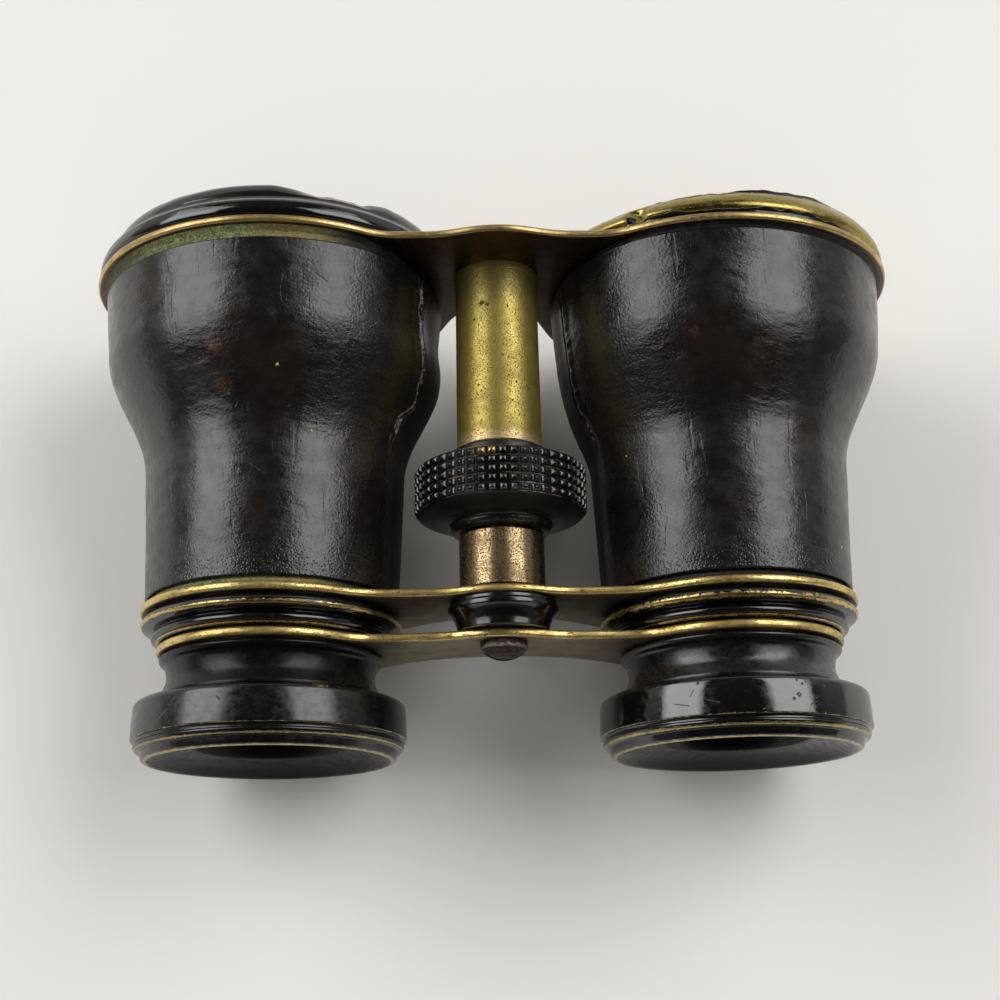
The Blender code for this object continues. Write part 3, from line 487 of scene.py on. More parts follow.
def barrel_finish(side, across, green, darker_side):
    """The barrel's brass where the leather ends: verdigris, grime, a darker side, painted shade under the
    front bridge, and blackened inside.
    """
    f = Finish(side + "_barrel_brass", across)
    x, station, z = f.axis()
    radius = f.off_axis(x, z)
    broad = f.times(f.minus(f.grain(0.28), 0.5), 0.6)
    bloom = f.plus(f.grain(1.2, 6.0, 0.78), broad)
    colour = f.mix(f.grain(2.8, 5.0, 0.75), (0.36, 0.30, 0.11), (0.085, 0.064, 0.028))
    leaning = f.times(f.fit(x, 5.0, -10.0), 0.14)
    verdigris = f.times(f.fit(f.plus(bloom, leaning), 0.60 - green, 0.76 - green), 0.85)
    colour = f.mix(verdigris, colour, (0.066, 0.098, 0.038))
    bright = f.fit(f.grain(2.6, 6.0, 0.8, shift=(1, 5, 2)), 0.50, 0.58)
    colour = f.mix(f.times(bright, verdigris), colour, (0.31, 0.40, 0.17))
    rubbed = f.fit(f.grain(1.8, 6.0, 0.8, shift=(9, 3, 7)), 0.52, 0.60)
    colour = f.mix(f.times(rubbed, verdigris), colour, (0.42, 0.36, 0.13))
    grime = f.fit(f.grain(2.2, 5.0, 0.75, shift=(8, 1, 6)), 0.53, 0.62)
    colour = f.mix(f.times(grime, 0.75), colour, (0.024, 0.022, 0.012))
    # Darker towards one side. For the right barrel the range covers the whole band: painted shadow under
    # the front bridge. For the left barrel the band darkens towards the column.
    colour = f.mix(f.fit(x, *darker_side), colour, (0.016, 0.014, 0.011))
    # Painted shade on the band's -X side, below the front bridge's edge.
    colour = f.mix(f.times(f.fit(x, -14.0, -21.0), 0.75), colour, (0.040, 0.032, 0.014))
    inside = f.fit(f.minus(radius, f.fit(station, 24.0, 43.0, 16.5, 22.1)), 0.0, -0.05)
    colour = f.mix(inside, colour, (0.012, 0.012, 0.012))
    dull = f.larger(verdigris, inside)
    f.raise_by([(bloom, 0.14)])
    metal = f.minus(0.7, f.times(dull, 0.68))
    return f.wear(Base_Color=colour, Metallic=metal, Roughness=f.fit(dull, 0.0, 1.0, 0.42, 0.75))


def draw_finish(side, across):
    """A draw tube: clean brass outside, blackened inside."""
    f = Finish(side + "_draw_brass", across)
    x, _, z = f.axis()
    radius = f.off_axis(x, z)
    inside = f.fit(radius, 12.9, 12.7)
    ringed = f.grain(0.6, 4.0, 0.6, stretch=(0.15, 6.0, 0.15))
    colour = f.mix(ringed, (0.62, 0.46, 0.17), (0.42, 0.30, 0.11))
    colour = f.mix(inside, colour, (0.012, 0.012, 0.012))
    f.raise_by([(ringed, 0.01)])
    level = f.plus(f.fit(ringed, 0.3, 0.7, 0.22, 0.36), f.times(inside, 0.4))
    return f.wear(Base_Color=colour, Metallic=f.minus(1.0, inside), Roughness=level)


def column_finish():
    """The column's tube: olive tarnish, pitted, brown at the top and rubbed to gold by the wheel."""
    f = Finish("column_brass", 0.0, COLUMN_RISE)
    station = f.axis()[1]
    cloud = f.grain(0.35, 4.0, 0.6)
    colour = f.mix(f.fit(cloud, 0.35, 0.68), (0.43, 0.34, 0.080), (0.31, 0.245, 0.058))
    high = f.plus(station, f.times(f.grain(0.5), 3.0))
    colour = f.mix(f.times(f.fit(high, 46.0, 52.0), 0.6), colour, (0.16, 0.12, 0.042))
    low = f.plus(station, f.times(f.grain(0.8), 2.0))
    colour = f.mix(f.fit(low, 29.4, 27.8), colour, (0.62, 0.45, 0.22))
    speckle = f.fit(f.grain(4.6, 4.0, 0.65), 0.56, 0.66)
    pits = f.fit(f.grain(1.2, 5.0, 0.72, stretch=(1.0, 0.8, 1.0), shift=(4, 4, 4)), 0.655, 0.68)
    marks = (((-2.3, 46.9, 5.5), 0.5), ((-1.5, 46.5, 5.7), 0.36), ((-3.4, 44.6, 4.9), 0.25),
             ((1.4, 46.3, 5.8), 0.2), ((0.5, 38.8, 5.9), 0.22), ((-0.6, 40.8, 5.9), 0.18),
             ((-2.9, 34.6, 5.2), 0.2), ((2.4, 34.9, 5.4), 0.18))
    pits = f.larger(pits, f.spots(marks, 0.8))
    dark = f.larger(f.times(speckle, f.fit(station, 50.0, 30.0, 0.25, 0.75)), pits)
    colour = f.mix(f.times(dark, 0.85), colour, (0.05, 0.032, 0.012))
    f.raise_by([(f.grain(1.2, 4.0), 0.02), (pits, -0.08), (speckle, -0.03),
                (f.grain(3.4, 4.0, 0.7), 0.03)])
    level = f.plus(f.fit(cloud, 0.3, 0.75, 0.33, 0.45), f.times(dark, 0.2))
    return f.wear(Base_Color=colour, Metallic=0.72, Roughness=level)


def wheel_finish():
    """Black lacquer on the knurled wheel, thin in the grooves and rubbed through on a few peaks."""
    f = Finish("wheel_black", 0.0, COLUMN_RISE)
    station = f.axis()[1]
    peak = f.kept("peak")
    row_height = (RIM_TOP - RIM_LOW) / WHEEL_ROWS
    row = f.maths("FRACT", f.maths("DIVIDE", f.minus(station, RIM_LOW), row_height))
    line = f.fit(f.maths("ABSOLUTE", f.minus(row, 0.5)), 0.43, 0.48)
    on_rim = f.kept("rim")
    patchy = f.fit(f.grain(0.45, 3.0, 0.6), 0.45, 0.68)
    groove = f.times(f.times(line, on_rim), f.times(patchy, 0.35))
    rubbed_spot = f.spot((-2.4, 22.9, 11.7), 2.5, 0.4)
    tops = f.fit(f.plus(peak, f.times(f.grain(0.9, 3.0), 1.4)), 1.85, 2.05)
    rubbed_spot = f.times(rubbed_spot, f.fit(station, 22.1, 22.3))
    rubbed = f.larger(f.times(rubbed_spot, f.fit(peak, 0.02, 0.3)), tops)
    brass = f.mix(f.grain(3.0), (0.60, 0.45, 0.20), (0.32, 0.22, 0.09))
    bare = f.larger(groove, rubbed)
    lacquer = f.mix(f.grain(0.6), (0.003, 0.003, 0.0035), (0.007, 0.0065, 0.006))
    worn = f.plus(f.kept("wear"), f.times(f.minus(f.grain(1.2, 4.0), 0.5), 1.2))
    bare = f.larger(bare, f.fit(worn, 0.8, 1.0))
    pits = f.fit(f.grain(2.6, 5.0, 0.7), 0.60, 0.68)
    f.raise_by([(f.grain(1.5, 5.0, 0.65), 0.06), (pits, -0.05)])
    plain = f.fit(station, 15.5, 16.2, 0.10, 0.34)
    level = f.plus(f.mix_values(on_rim, plain, 0.11), f.times(bare, 0.18))
    under = f.times(f.minus(1.0, on_rim), f.fit(station, 15.8, 16.4))
    sunk = f.plus(f.times(on_rim, f.fit(peak, 0.55, 0.08)), f.times(under, 0.6))
    gloss = f.minus(1.0, f.times(sunk, 0.9))
    return f.wear(Base_Color=f.mix(bare, lacquer, brass), Metallic=bare, Roughness=level,
                  Specular_IOR_Level=gloss)


def steel_finish():
    """The worn, dark steel of the slotted screw, with a pale rim that is partly wear and partly a painted
    highlight.
    """
    f = Finish("screw_steel", 0.0, COLUMN_RISE)
    rust = f.fit(f.grain(1.4, 5.0, 0.7), 0.48, 0.66)
    colour = f.mix(f.grain(2.6, 4.0), (0.085, 0.060, 0.054), (0.020, 0.014, 0.013))
    colour = f.mix(rust, colour, (0.030, 0.018, 0.014))
    # The pale rim is partly worn steel and partly a painted highlight on the head's edge.
    edge = f.plus(f.kept("wear"), f.times(f.minus(f.grain(2.0, 4.0), 0.5), 1.5))
    colour = f.mix(f.fit(edge, 0.45, 0.75), colour, (0.30, 0.25, 0.22))
    scratches = f.fit(f.grain(1.6, 3.0, 0.6, stretch=(4.0, 0.5, 0.5), turn=(0, 0.6, 0)), 0.55, 0.7)
    f.raise_by([(f.grain(1.6, 5.0, 0.7), 0.30), (scratches, -0.05)])
    level = f.fit(rust, 0.0, 1.0, 0.16, 0.38)
    return f.wear(Base_Color=colour, Metallic=0.85, Roughness=level)


def glass_finish():
    """Old optical glass, slightly green, with a little dust."""
    f = Finish("optical_glass")
    dust = f.fit(f.grain(2.0, 5.0, 0.7), 0.70, 0.80)
    level = f.plus(f.times(dust, 0.25), 0.015)
    f.raise_by([(f.grain(0.1, 2.0), 0.001)])
    return f.wear(Base_Color=(0.93, 0.97, 0.94), Transmission_Weight=1.0, IOR=1.53, Roughness=level)


# Turned shapes

def section(corners, closed=True):
    """Edges of a turned piece's section in the XY plane, each corner rounded."""
    bm = bmesh.new()
    points = [bm.verts.new((radius, station, 0.0)) for radius, station, _ in corners]
    pairs = list(zip(points, points[1:]))
    if closed:
        pairs.append((points[-1], points[0]))
    for pair in pairs:
        bm.edges.new(pair)
    for point, (_, _, rounding) in zip(points, corners):
        if rounding:
            bmesh.ops.bevel(bm, geom=[point], offset=rounding, segments=ROUNDING_SEGMENTS, profile=0.5,
                            affect="VERTICES", material=-1, clamp_overlap=True)
    return bm


def mark_wear(bm, worn):
    """Note how near each point is to a worn edge, given by its radius, station and reach."""
    layer = bm.verts.layers.float.new("wear")
    for vert in bm.verts:
        radius = hypot(vert.co.x, vert.co.z)
        for edge_radius, station, reach in worn:
            away = hypot(radius - edge_radius, vert.co.y - station)
            vert[layer] = max(vert[layer], 1.0 - away / reach)


def close_up(bm):
    """Make near points one, and turn the normals outwards."""
    bmesh.ops.remove_doubles(bm, verts=bm.verts, dist=MERGED_WITHIN)
    bmesh.ops.recalc_face_normals(bm, faces=bm.faces)


def sweep_round(bm, steps, sweep=2 * pi, doublings=4):
    """Sweep a section round the axis: spin a narrow part, then double it until all is there."""
    width = sweep / 2 ** doublings
    bmesh.ops.spin(bm, geom=bm.verts[:] + bm.edges[:], axis=(0, 1, 0), cent=(0, 0, 0), angle=width,
                   steps=steps // 2 ** doublings, use_merge=False, use_duplicate=False)
    for _ in range(doublings):
        copied = bmesh.ops.duplicate(bm, geom=bm.verts[:] + bm.edges[:] + bm.faces[:])["geom"]
        moved = [item for item in copied if isinstance(item, bmesh.types.BMVert)]
        bmesh.ops.rotate(bm, verts=moved, cent=(0, 0, 0), matrix=Matrix.Rotation(width, 3, "Y"))
        width *= 2
    close_up(bm)


def shift(bm, across=0.0, along=0.0, rise=0.0):
    bmesh.ops.translate(bm, verts=bm.verts, vec=(across, along, rise))


def join(bm, other):
    """Add one shape to another and drop the first."""
    mesh = mesh_of("joined", other)
    bm.from_mesh(mesh)
    bpy.data.meshes.remove(mesh)


def turned(corners, across, rise=0.0, closed=True, facets=FACETS, worn=()):
    """A turned piece on its own axis, with its normals outwards."""
    bm = section(corners, closed)
    mark_wear(bm, worn)
    sweep_round(bm, facets)
    shift(bm, across, rise=rise)
    return bm


def barrel_radius(station):
    """Outer radius of the leather: a rear cone, a smooth shoulder and a front cone."""
    rear_slope = (WAIST_RADIUS - REAR_RADIUS) / (SHOULDER_START - LEATHER_REAR)
    front_slope = (FRONT_RADIUS - SHOULDER_RADIUS) / (LEATHER_FRONT - SHOULDER_END)
    rear = REAR_RADIUS + rear_slope * (station - LEATHER_REAR)
    front = SHOULDER_RADIUS + front_slope * (station - SHOULDER_END)
    return rear + smoothly(station, SHOULDER_START, SHOULDER_END) * (front - rear)


def barrel_line(inset, low, high, rows):
    stations = [low + (high - low) * k / rows for k in range(rows + 1)]
    return [(barrel_radius(station) - inset, station, 0) for station in stations]


def seam_angle(side, station):
    """Where the leather's seam runs, in degrees from +X, at a station along the barrel."""
    line = SEAM_LINES[side]
    for (low, first), (high, second) in zip(line, line[1:]):
        if station <= high:
            return first + (second - first) * smoothly(station, low, high)
    return line[-1][1]


def flatten_inner_side(vert, side, flare=0.0):
    """Each barrel is a little flat where it faces the column, and its flare ends there."""
    depth, low, high = FLAT_SIDES[side]
    x, station, z = vert.co
    away = degrees(abs(atan2(z, x if side == "left" else -x)))
    inwards = depth * smoothly(station, low, high) * smoothly(away, *FLAT_SPREAD)
    inwards += flare * smoothly(away, *FLARE_SPREAD)
    shrink = 1 - inwards / max(hypot(x, z), 1.0)
    vert.co.x *= shrink
    vert.co.z *= shrink


def leather_cover(side, across, finish):
    """Leather skin with dents, and a seam on its inner side where an edge has lifted and cracked."""
    end = LEATHER_ENDS[side]
    corners = barrel_line(0.0, LEATHER_REAR, end, LEATHER_ROWS)
    corners[0] = (*corners[0][:2], LEATHER_END_ROUNDING)
    corners[-1] = (*corners[-1][:2], LEATHER_END_ROUNDING)
    corners += barrel_line(LEATHER_THICKNESS, LEATHER_REAR, end, LEATHER_INNER_ROWS)[::-1]
    seam = SEAM_ANGLES[side]
    half = SEAM_SWEEP / 2
    bm = bmesh.new()
    parts = ((seam + half, SEAM_SWEEP, SEAM_STEPS), (seam - half, 360 - SEAM_SWEEP, PLAIN_STEPS))
    for start, sweep, steps in parts:
        part = section(corners)
        bmesh.ops.rotate(part, verts=part.verts, cent=(0, 0, 0),
                         matrix=Matrix.Rotation(-radians(start), 3, "Y"))
        sweep_round(part, steps, radians(sweep))
        join(bm, part)
    close_up(bm)
    torn_lit_edge = bm.verts.layers.float.new("torn_lit_edge")
    crack = bm.verts.layers.float.new("crack")
    way, frayed = (1, 1.0) if side == "left" else (-1, 0.35)
    for vert in bm.verts:
        x, station, z = vert.co
        radius = hypot(x, z)
        if radius < barrel_radius(station) - 0.5 * LEATHER_THICKNESS:
            continue
        angle = degrees(atan2(z, x))
        lift = DENT_HEIGHT * noise.noise(vert.co * 0.11 + Vector((across, 0, 0)))
        lift += CREASE_HEIGHT * noise.noise(Vector((x * 0.22, station * 0.7, z * 0.22 + across))) - 0.02
        wander = 0.35 * noise.noise(Vector((across, station * 0.5, 0)))
        wander += 0.2 * noise.noise(Vector((station, across, 0)))
        wander += 0.14 * noise.noise(Vector((station * 2.6, across, 3)))
        from_seam = (angle - seam_angle(side, station) + 180) % 360 - 180
        offset = way * radians(from_seam) * radius + wander
        open_share = smoothly(station, *SEAM_OPENS) * smoothly(station, *SEAM_CLOSES)
        ragged = 0.55 + 0.7 * noise.noise(Vector((station * 1.1, across, 5)))
        ragged += 0.35 * noise.noise(Vector((station * 3.3, across, 8)))
        lip = smoothly(offset, -0.15, 0.2) * smoothly(offset, 2.2, 0.4)
        lift += (0.03 + SEAM_LIFT * open_share * ragged) * lip
        groove = smoothly(abs(offset + 0.6), 0.55, 0.2) * open_share * smoothly(ragged, 0.1, 0.5)
        lift -= CRACK_DEPTH * groove
        # Marks the lifted raw edge, later coloured pale: partly raw leather, partly a painted highlight.
        raw_and_lit_edge = smoothly(abs(offset - 0.15), 0.5, 0.1) * open_share * smoothly(ragged, 0.3, 0.7)
        vert[torn_lit_edge] = frayed * raw_and_lit_edge
        vert[crack] = groove
        vert.co.x += lift * x / radius
        vert.co.z += lift * z / radius
    for vert in bm.verts:
        flatten_inner_side(vert, side)
    shift(bm, across)
    add_piece(side + "_leather_skin", bm, finish, "barrels", side + "_leather_cover",
              50)


def barrel_tube(side, across, finish):
    """Brass barrel, flared where it meets the front bridge."""
    end = LEATHER_ENDS[side]
    band_rear = REAR_RADIUS - 0.4
    under = barrel_radius(end) - TUBE_DEPTH
    flare = 0.5 * (end + SEAT)
    corners = [(band_rear, BAND_START, 0.05), (band_rear, BAND_END, 0.05)]
    corners += barrel_line(TUBE_DEPTH, BAND_END + 0.01, end - 0.3, TUBE_ROWS)
    corners += [(under, end - 0.1, 0), (under + 0.75, end - 0.05, 0.05), (under + 0.85, flare, 0.15),
                (SEAT_RADIUS, SEAT, 0.05), (SPIGOT_RADIUS, SEAT, 0), (SPIGOT_RADIUS, SPIGOT_END, 0.05),
                (SPIGOT_BORE, SPIGOT_END, 0.05), (SPIGOT_BORE, SPIGOT_START, 0)]
    corners += barrel_line(TUBE_DEPTH + TUBE_WALL, BAND_START, SPIGOT_START, BORE_ROWS)[::-1]
    bm = turned(corners, 0.0)
    for vert in bm.verts:
        radius = hypot(vert.co.x, vert.co.z)
        if vert.co.y < SPIGOT_START + 0.3 or radius > SPIGOT_RADIUS + 0.4:
            flared = vert.co.y > end - 0.15
            flatten_inner_side(vert, side, max(radius - under, 0.0) if flared else 0.0)
    shift(bm, across)
    add_piece(side + "_brass_barrel", bm, finish, "barrels", side + "_barrel_tube")


# Cells, battered where they face each other
LIP_DENT = (66, 23, 1.0)
LIP_NICKS = ((56, 0.25), (71, 0.2))
CELL_START = 54.46
NOTCH_PLACE = Vector((-12.9, 56.0, 22.7))
NOTCH_BLACK = Vector((-13.9, 55.6, 22.1))
NOTCH_DEPTH, NOTCH_REACH = 1.4, 1.6


def batter_left_lip(bm):
    """The left cell's lip is knocked down on its inner side."""
    for vert in bm.verts:
        x, station, z = vert.co
        angle = degrees(atan2(z, x))
        share = smoothly(station, 57.8, 60.0)
        middle, spread, depth = LIP_DENT
        drop = depth * smoothly(abs(angle - middle), spread, 6) + 0.12 * noise.noise(vert.co * 0.4)
        drop += sum(nick * smoothly(abs(angle - place), 3, 1) for place, nick in LIP_NICKS)
        vert.co.y -= share * max(drop, 0.0)


def batter_right_cell(bm):
    """The right cell is pressed down on its inner side, rubbed to brass and notched in its bead."""
    wear = bm.verts.layers.float["wear"]
    for vert in bm.verts:
        x, station, z = vert.co
        radius = hypot(x, z)
        if station < CELL_START:
            continue
        black_top = 55.05 - smoothly(abs(x - 0.5), 13.0, 19.0) + 0.45 * noise.noise(vert.co * 0.5)
        ragged = x + 2.5 * noise.noise(vert.co * 0.45)
        dark_lip = smoothly(ragged, -1.0, 2.0) * smoothly(ragged, 18.0, 13.0)
        dark_lip *= smoothly(station, 58.1, 58.35) * smoothly(z, 4.0, 10.0)
        beside_notch = smoothly((vert.co - NOTCH_BLACK).length, 0.8, 0.3)
        rubbed = smoothly(station, black_top - 0.2, black_top + 0.2)
        vert[wear] = rubbed * (1.0 - max(dark_lip, beside_notch))
        uneven = 0.05 * noise.noise(vert.co * 0.35) + 0.03 * noise.noise(vert.co * 1.1)
        vert.co.y = CELL_START + (station - CELL_START) * (1.03 + 0.011 * x + uneven) + 0.4 * dark_lip
        notch = Vector((x, vert.co.y, z)) - NOTCH_PLACE
        away = hypot(notch.x, notch.z)
        dent = NOTCH_DEPTH * max(1.0 - away / NOTCH_REACH, 0.0) * smoothly(abs(notch.y), 1.7, 0.4)
        shrink = 1 - (dent + 0.10 * max(noise.noise(vert.co * 0.25), 0.0)) / radius
        vert.co.x *= shrink
        vert.co.z *= shrink


def lens(edge_radius, rear, front, rear_curve, front_curve, across):
    """A lens on its axis. A curve is a radius that bulges forwards if positive, or 0 if flat."""
    def face(station, curve):
        line = []
        for k in range(LENS_STEPS + 1):
            radius = edge_radius * k / LENS_STEPS
            sag = sqrt(curve ** 2 - radius ** 2) - sqrt(curve ** 2 - edge_radius ** 2) if curve else 0.0
            line.append((radius, station + (sag if curve > 0 else -sag), 0))
        return line
    return turned(face(rear, rear_curve) + face(front, front_curve)[::-1], across, closed=False,
                  facets=LENS_FACETS)


# Bridges

def ring_arc(radius, first, last, steps):
    """Points on the right ring, in degrees from its inner side over the top."""
    angles = [radians(first + (last - first) * k / steps) for k in range(steps + 1)]
    return [Vector((HALF_SPACING - radius * cos(angle), radius * sin(angle))) for angle in angles]


def flowing(start, start_way, end, end_way, steps):
    """A smooth curve between two points, leaving and arriving in the given directions."""
    reach = (end - start).length * CURVE_REACH
    points = interpolate_bezier(start, start + start_way * reach, end - end_way * reach, end, steps + 1)
    return [Vector(point[:2]) for point in points]


def bridge_outline(radius, crest, dip, arch, near_join, far_join):
    """Closed outline of a bridge: two rings and a waist with a small crest over the column."""
    right = Vector((1.0, 0.0))
    near_way = Vector((sin(radians(near_join)), cos(radians(near_join))))
    far_way = Vector((sin(radians(far_join)), -cos(radians(far_join))))
    low = Vector((DIP_OFFSET, dip))
    near_arc = ring_arc(radius, near_join, 90, 12)
    far_arc = ring_arc(radius, 270, 360 - far_join, 12)
    half = flowing(Vector((0.0, crest)), right, low, right, 20)
    half += flowing(low, right, near_arc[0], near_way, 20)[1:]
    half += near_arc[1:] + ring_arc(radius, 90, 270, 60)[1:] + far_arc[1:]
    half += flowing(Vector((0.0, arch)), right, far_arc[-1], far_way, 30)[::-1][1:]
    mirrored = [Vector((-point.x, point.y)) for point in half[1:-1]]
    return half + mirrored[::-1]


def hole(across, up, radius):
    angles = [2 * pi * k / 72 for k in range(72)]
    return [Vector((across + radius * cos(angle), up + radius * sin(angle))) for angle in angles]


def bridge_plate(name, sizes, ring_hole, column_hole, finish, body, node):
    """A flat bridge with a rounded rim all round."""
    low, thickness, radius, crest, dip, arch, near_join, far_join = sizes
    loops = [bridge_outline(radius, crest, dip, arch, near_join, far_join)]
    loops += [hole(-HALF_SPACING, 0.0, ring_hole), hole(HALF_SPACING, 0.0, ring_hole)]
    loops.append(hole(0.0, COLUMN_RISE, column_hole))
    bm = bmesh.new()
    edges = []
    for loop in loops:
        points = [bm.verts.new((point.x, low, point.y)) for point in loop]
        edges += [bm.edges.new(pair) for pair in zip(points, points[1:] + points[:1])]
    bmesh.ops.triangle_fill(bm, use_beauty=True, use_dissolve=False, edges=edges)
    rim = set(edges)
    inner = [edge for edge in bm.edges if edge not in rim]
    bmesh.ops.dissolve_limit(bm, angle_limit=0.01, verts=[], edges=inner)
    grown = bmesh.ops.extrude_face_region(bm, geom=bm.faces[:])["geom"]
    moved = [item for item in grown if isinstance(item, bmesh.types.BMVert)]
    bmesh.ops.translate(bm, verts=moved, vec=(0.0, thickness, 0.0))
    bmesh.ops.recalc_face_normals(bm, faces=bm.faces)
    sharp = [edge for edge in bm.edges if edge.calc_face_angle(0.0) > 1.0]
    rims = [edge for edge in sharp if abs((edge.verts[0].co - edge.verts[1].co).y) < 0.1]
    bmesh.ops.bevel(bm, geom=rims, offset=PLATE_ROUNDING, segments=ROUNDING_SEGMENTS, profile=0.5,
                    affect="EDGES", material=-1)
    bmesh.ops.triangulate(bm, faces=[face for face in bm.faces if len(face.verts) > 4])
    add_piece(name, bm, finish, body, node, 40)


# Column

def focus_wheel(finish):
    """Wheel with rows of small pyramids round its rim."""
    rows = tuple((WHEEL_RADIUS, RIM_LOW + (RIM_TOP - RIM_LOW) * k / WHEEL_ROWS, 0)
                 for k in range(WHEEL_ROWS + 1))
    bm = section(WHEEL_FOOT + rows + WHEEL_HEAD)
    mark_wear(bm, ((6.9, 14.6, 0.5), (6.9, 26.0, 0.4)))
    sweep_round(bm, WHEEL_TEETH, doublings=1)
    inner = (WHEEL_RADIUS - 0.1) * cos(pi / WHEEL_TEETH)
    cells = [face for face in bm.faces
             if all(hypot(vert.co.x, vert.co.z) > inner and RIM_LOW - 0.01 < vert.co.y < RIM_TOP + 0.01
                    for vert in face.verts)]
    for slope, height in ((GROOVE_HALF, 0.0), (STEEP_SLOPE, STEEP_HEIGHT), (PEAK_SLOPE, PEAK_HEIGHT)):
        bmesh.ops.inset_individual(bm, faces=cells, thickness=slope, depth=height, use_even_offset=True)
    peak = bm.verts.layers.float.new("peak")
    rim = bm.verts.layers.float.new("rim")
    for vert in bm.verts:
        radius = hypot(vert.co.x, vert.co.z)
        vert[peak] = min(max((radius - WHEEL_RADIUS) / (STEEP_HEIGHT + PEAK_HEIGHT), 0.0), 1.0)
        vert[rim] = 1.0 if radius > WHEEL_RADIUS - 0.1 else 0.0
    shift(bm, rise=COLUMN_RISE)
    add_piece("knurled_wheel", bm, finish, "wheel", "focus_wheel", 25)


def focus_spindle(finish):
    """Plain shank, with a screw of three starts above it."""
    bm = turned(SHANK, 0.0, closed=False, facets=PLAIN_FACETS)
    screw = bmesh.new()
    pitch = LEAD / SCREW_STARTS
    low = SCREW_LOW - LEAD
    ridge = ((SCREW_ROOT, 0.0), (SCREW_ROOT, 0.3), (SCREW_CREST, 0.5), (SCREW_CREST, 0.8))
    line = [(radius, low + (start + share) * pitch) for start in range(SCREW_STARTS)
            for radius, share in ridge]
    line.append((SCREW_ROOT, low + LEAD))
    points = [screw.verts.new((radius, station, 0.0)) for radius, station in line]
    edges = [screw.edges.new(pair) for pair in zip(points, points[1:])]
    bmesh.ops.spin(screw, geom=points + edges, axis=(0, 1, 0), cent=(0, 0, 0),
                   dvec=(0, LEAD / SCREW_STEPS, 0), angle=-2 * pi * SCREW_TURNS,
                   steps=SCREW_TURNS * SCREW_STEPS, use_merge=False, use_duplicate=False)
    bmesh.ops.remove_doubles(screw, verts=screw.verts, dist=0.002)
    for station, way in ((SCREW_LOW, -1), (SCREW_HIGH, 1)):
        cut = bmesh.ops.bisect_plane(screw, geom=screw.verts[:] + screw.edges[:] + screw.faces[:],
                                     plane_co=(0, station, 0), plane_no=(0, way, 0), clear_outer=True,
                                     dist=0.0001)
        rim = [item for item in cut["geom_cut"] if isinstance(item, bmesh.types.BMEdge)]
        bmesh.ops.edgeloop_fill(screw, edges=rim)
    bmesh.ops.recalc_face_normals(screw, faces=screw.faces)
    join(bm, screw)
    shift(bm, rise=COLUMN_RISE)
    add_piece("screw_spindle", bm, finish, "eyepieces", "focus_spindle")


def slotted_bolt(name, corners, top, slot_sizes, turn, finish, body, node):
    """A domed screw with a slot cut across its head."""
    # The worn ring near the head's rim is coloured pale by the steel finish: partly wear, partly painted
    # highlight.
    bm = turned(corners, 0.0, closed=False, facets=SMALL_FACETS, worn=((3.25, -1.6, 0.5),))
    width, depth = slot_sizes
    cutter = bmesh.new()
    bmesh.ops.create_cube(cutter, size=1.0)
    bmesh.ops.scale(cutter, verts=cutter.verts, vec=(20.0, 2 * depth, width))
    bmesh.ops.rotate(cutter, verts=cutter.verts, cent=(0, 0, 0),
                     matrix=Matrix.Rotation(radians(turn), 3, "Y"))
    shift(cutter, along=top)
    blank, knife = (placed(name + end, mesh_of(name + end, shape))
                    for end, shape in (("_blank", bm), ("_cutter", cutter)))
    cut = blank.modifiers.new("slot", "BOOLEAN")
    cut.operation = "DIFFERENCE"
    cut.object = knife
    bpy.context.view_layer.update()
    carved = bmesh.new()
    carved.from_mesh(blank.evaluated_get(bpy.context.evaluated_depsgraph_get()).to_mesh())
    for thing in (blank, knife):
        bpy.data.objects.remove(thing)
    shift(carved, rise=COLUMN_RISE)
    add_piece(name, carved, finish, body, node)


# Colours of the bridges
GOLD_BRIGHT, GOLD_DULL = (0.90, 0.68, 0.26), (0.60, 0.43, 0.145)
COPPER_BRIGHT, COPPER_DULL = (0.64, 0.465, 0.20), (0.44, 0.31, 0.12)
GREY_FACE = (0.29, 0.24, 0.165)
BROWN_FACE = (0.15, 0.100, 0.062)


# Chips, shine of the neck, and reach of the wear on the collar and on the cup's ridge
SIDE_WEAR = {"left": (0.8, 0.28, 0.78, 0.40), "right": (1.2, 0.75, 1.05, 0.64)}


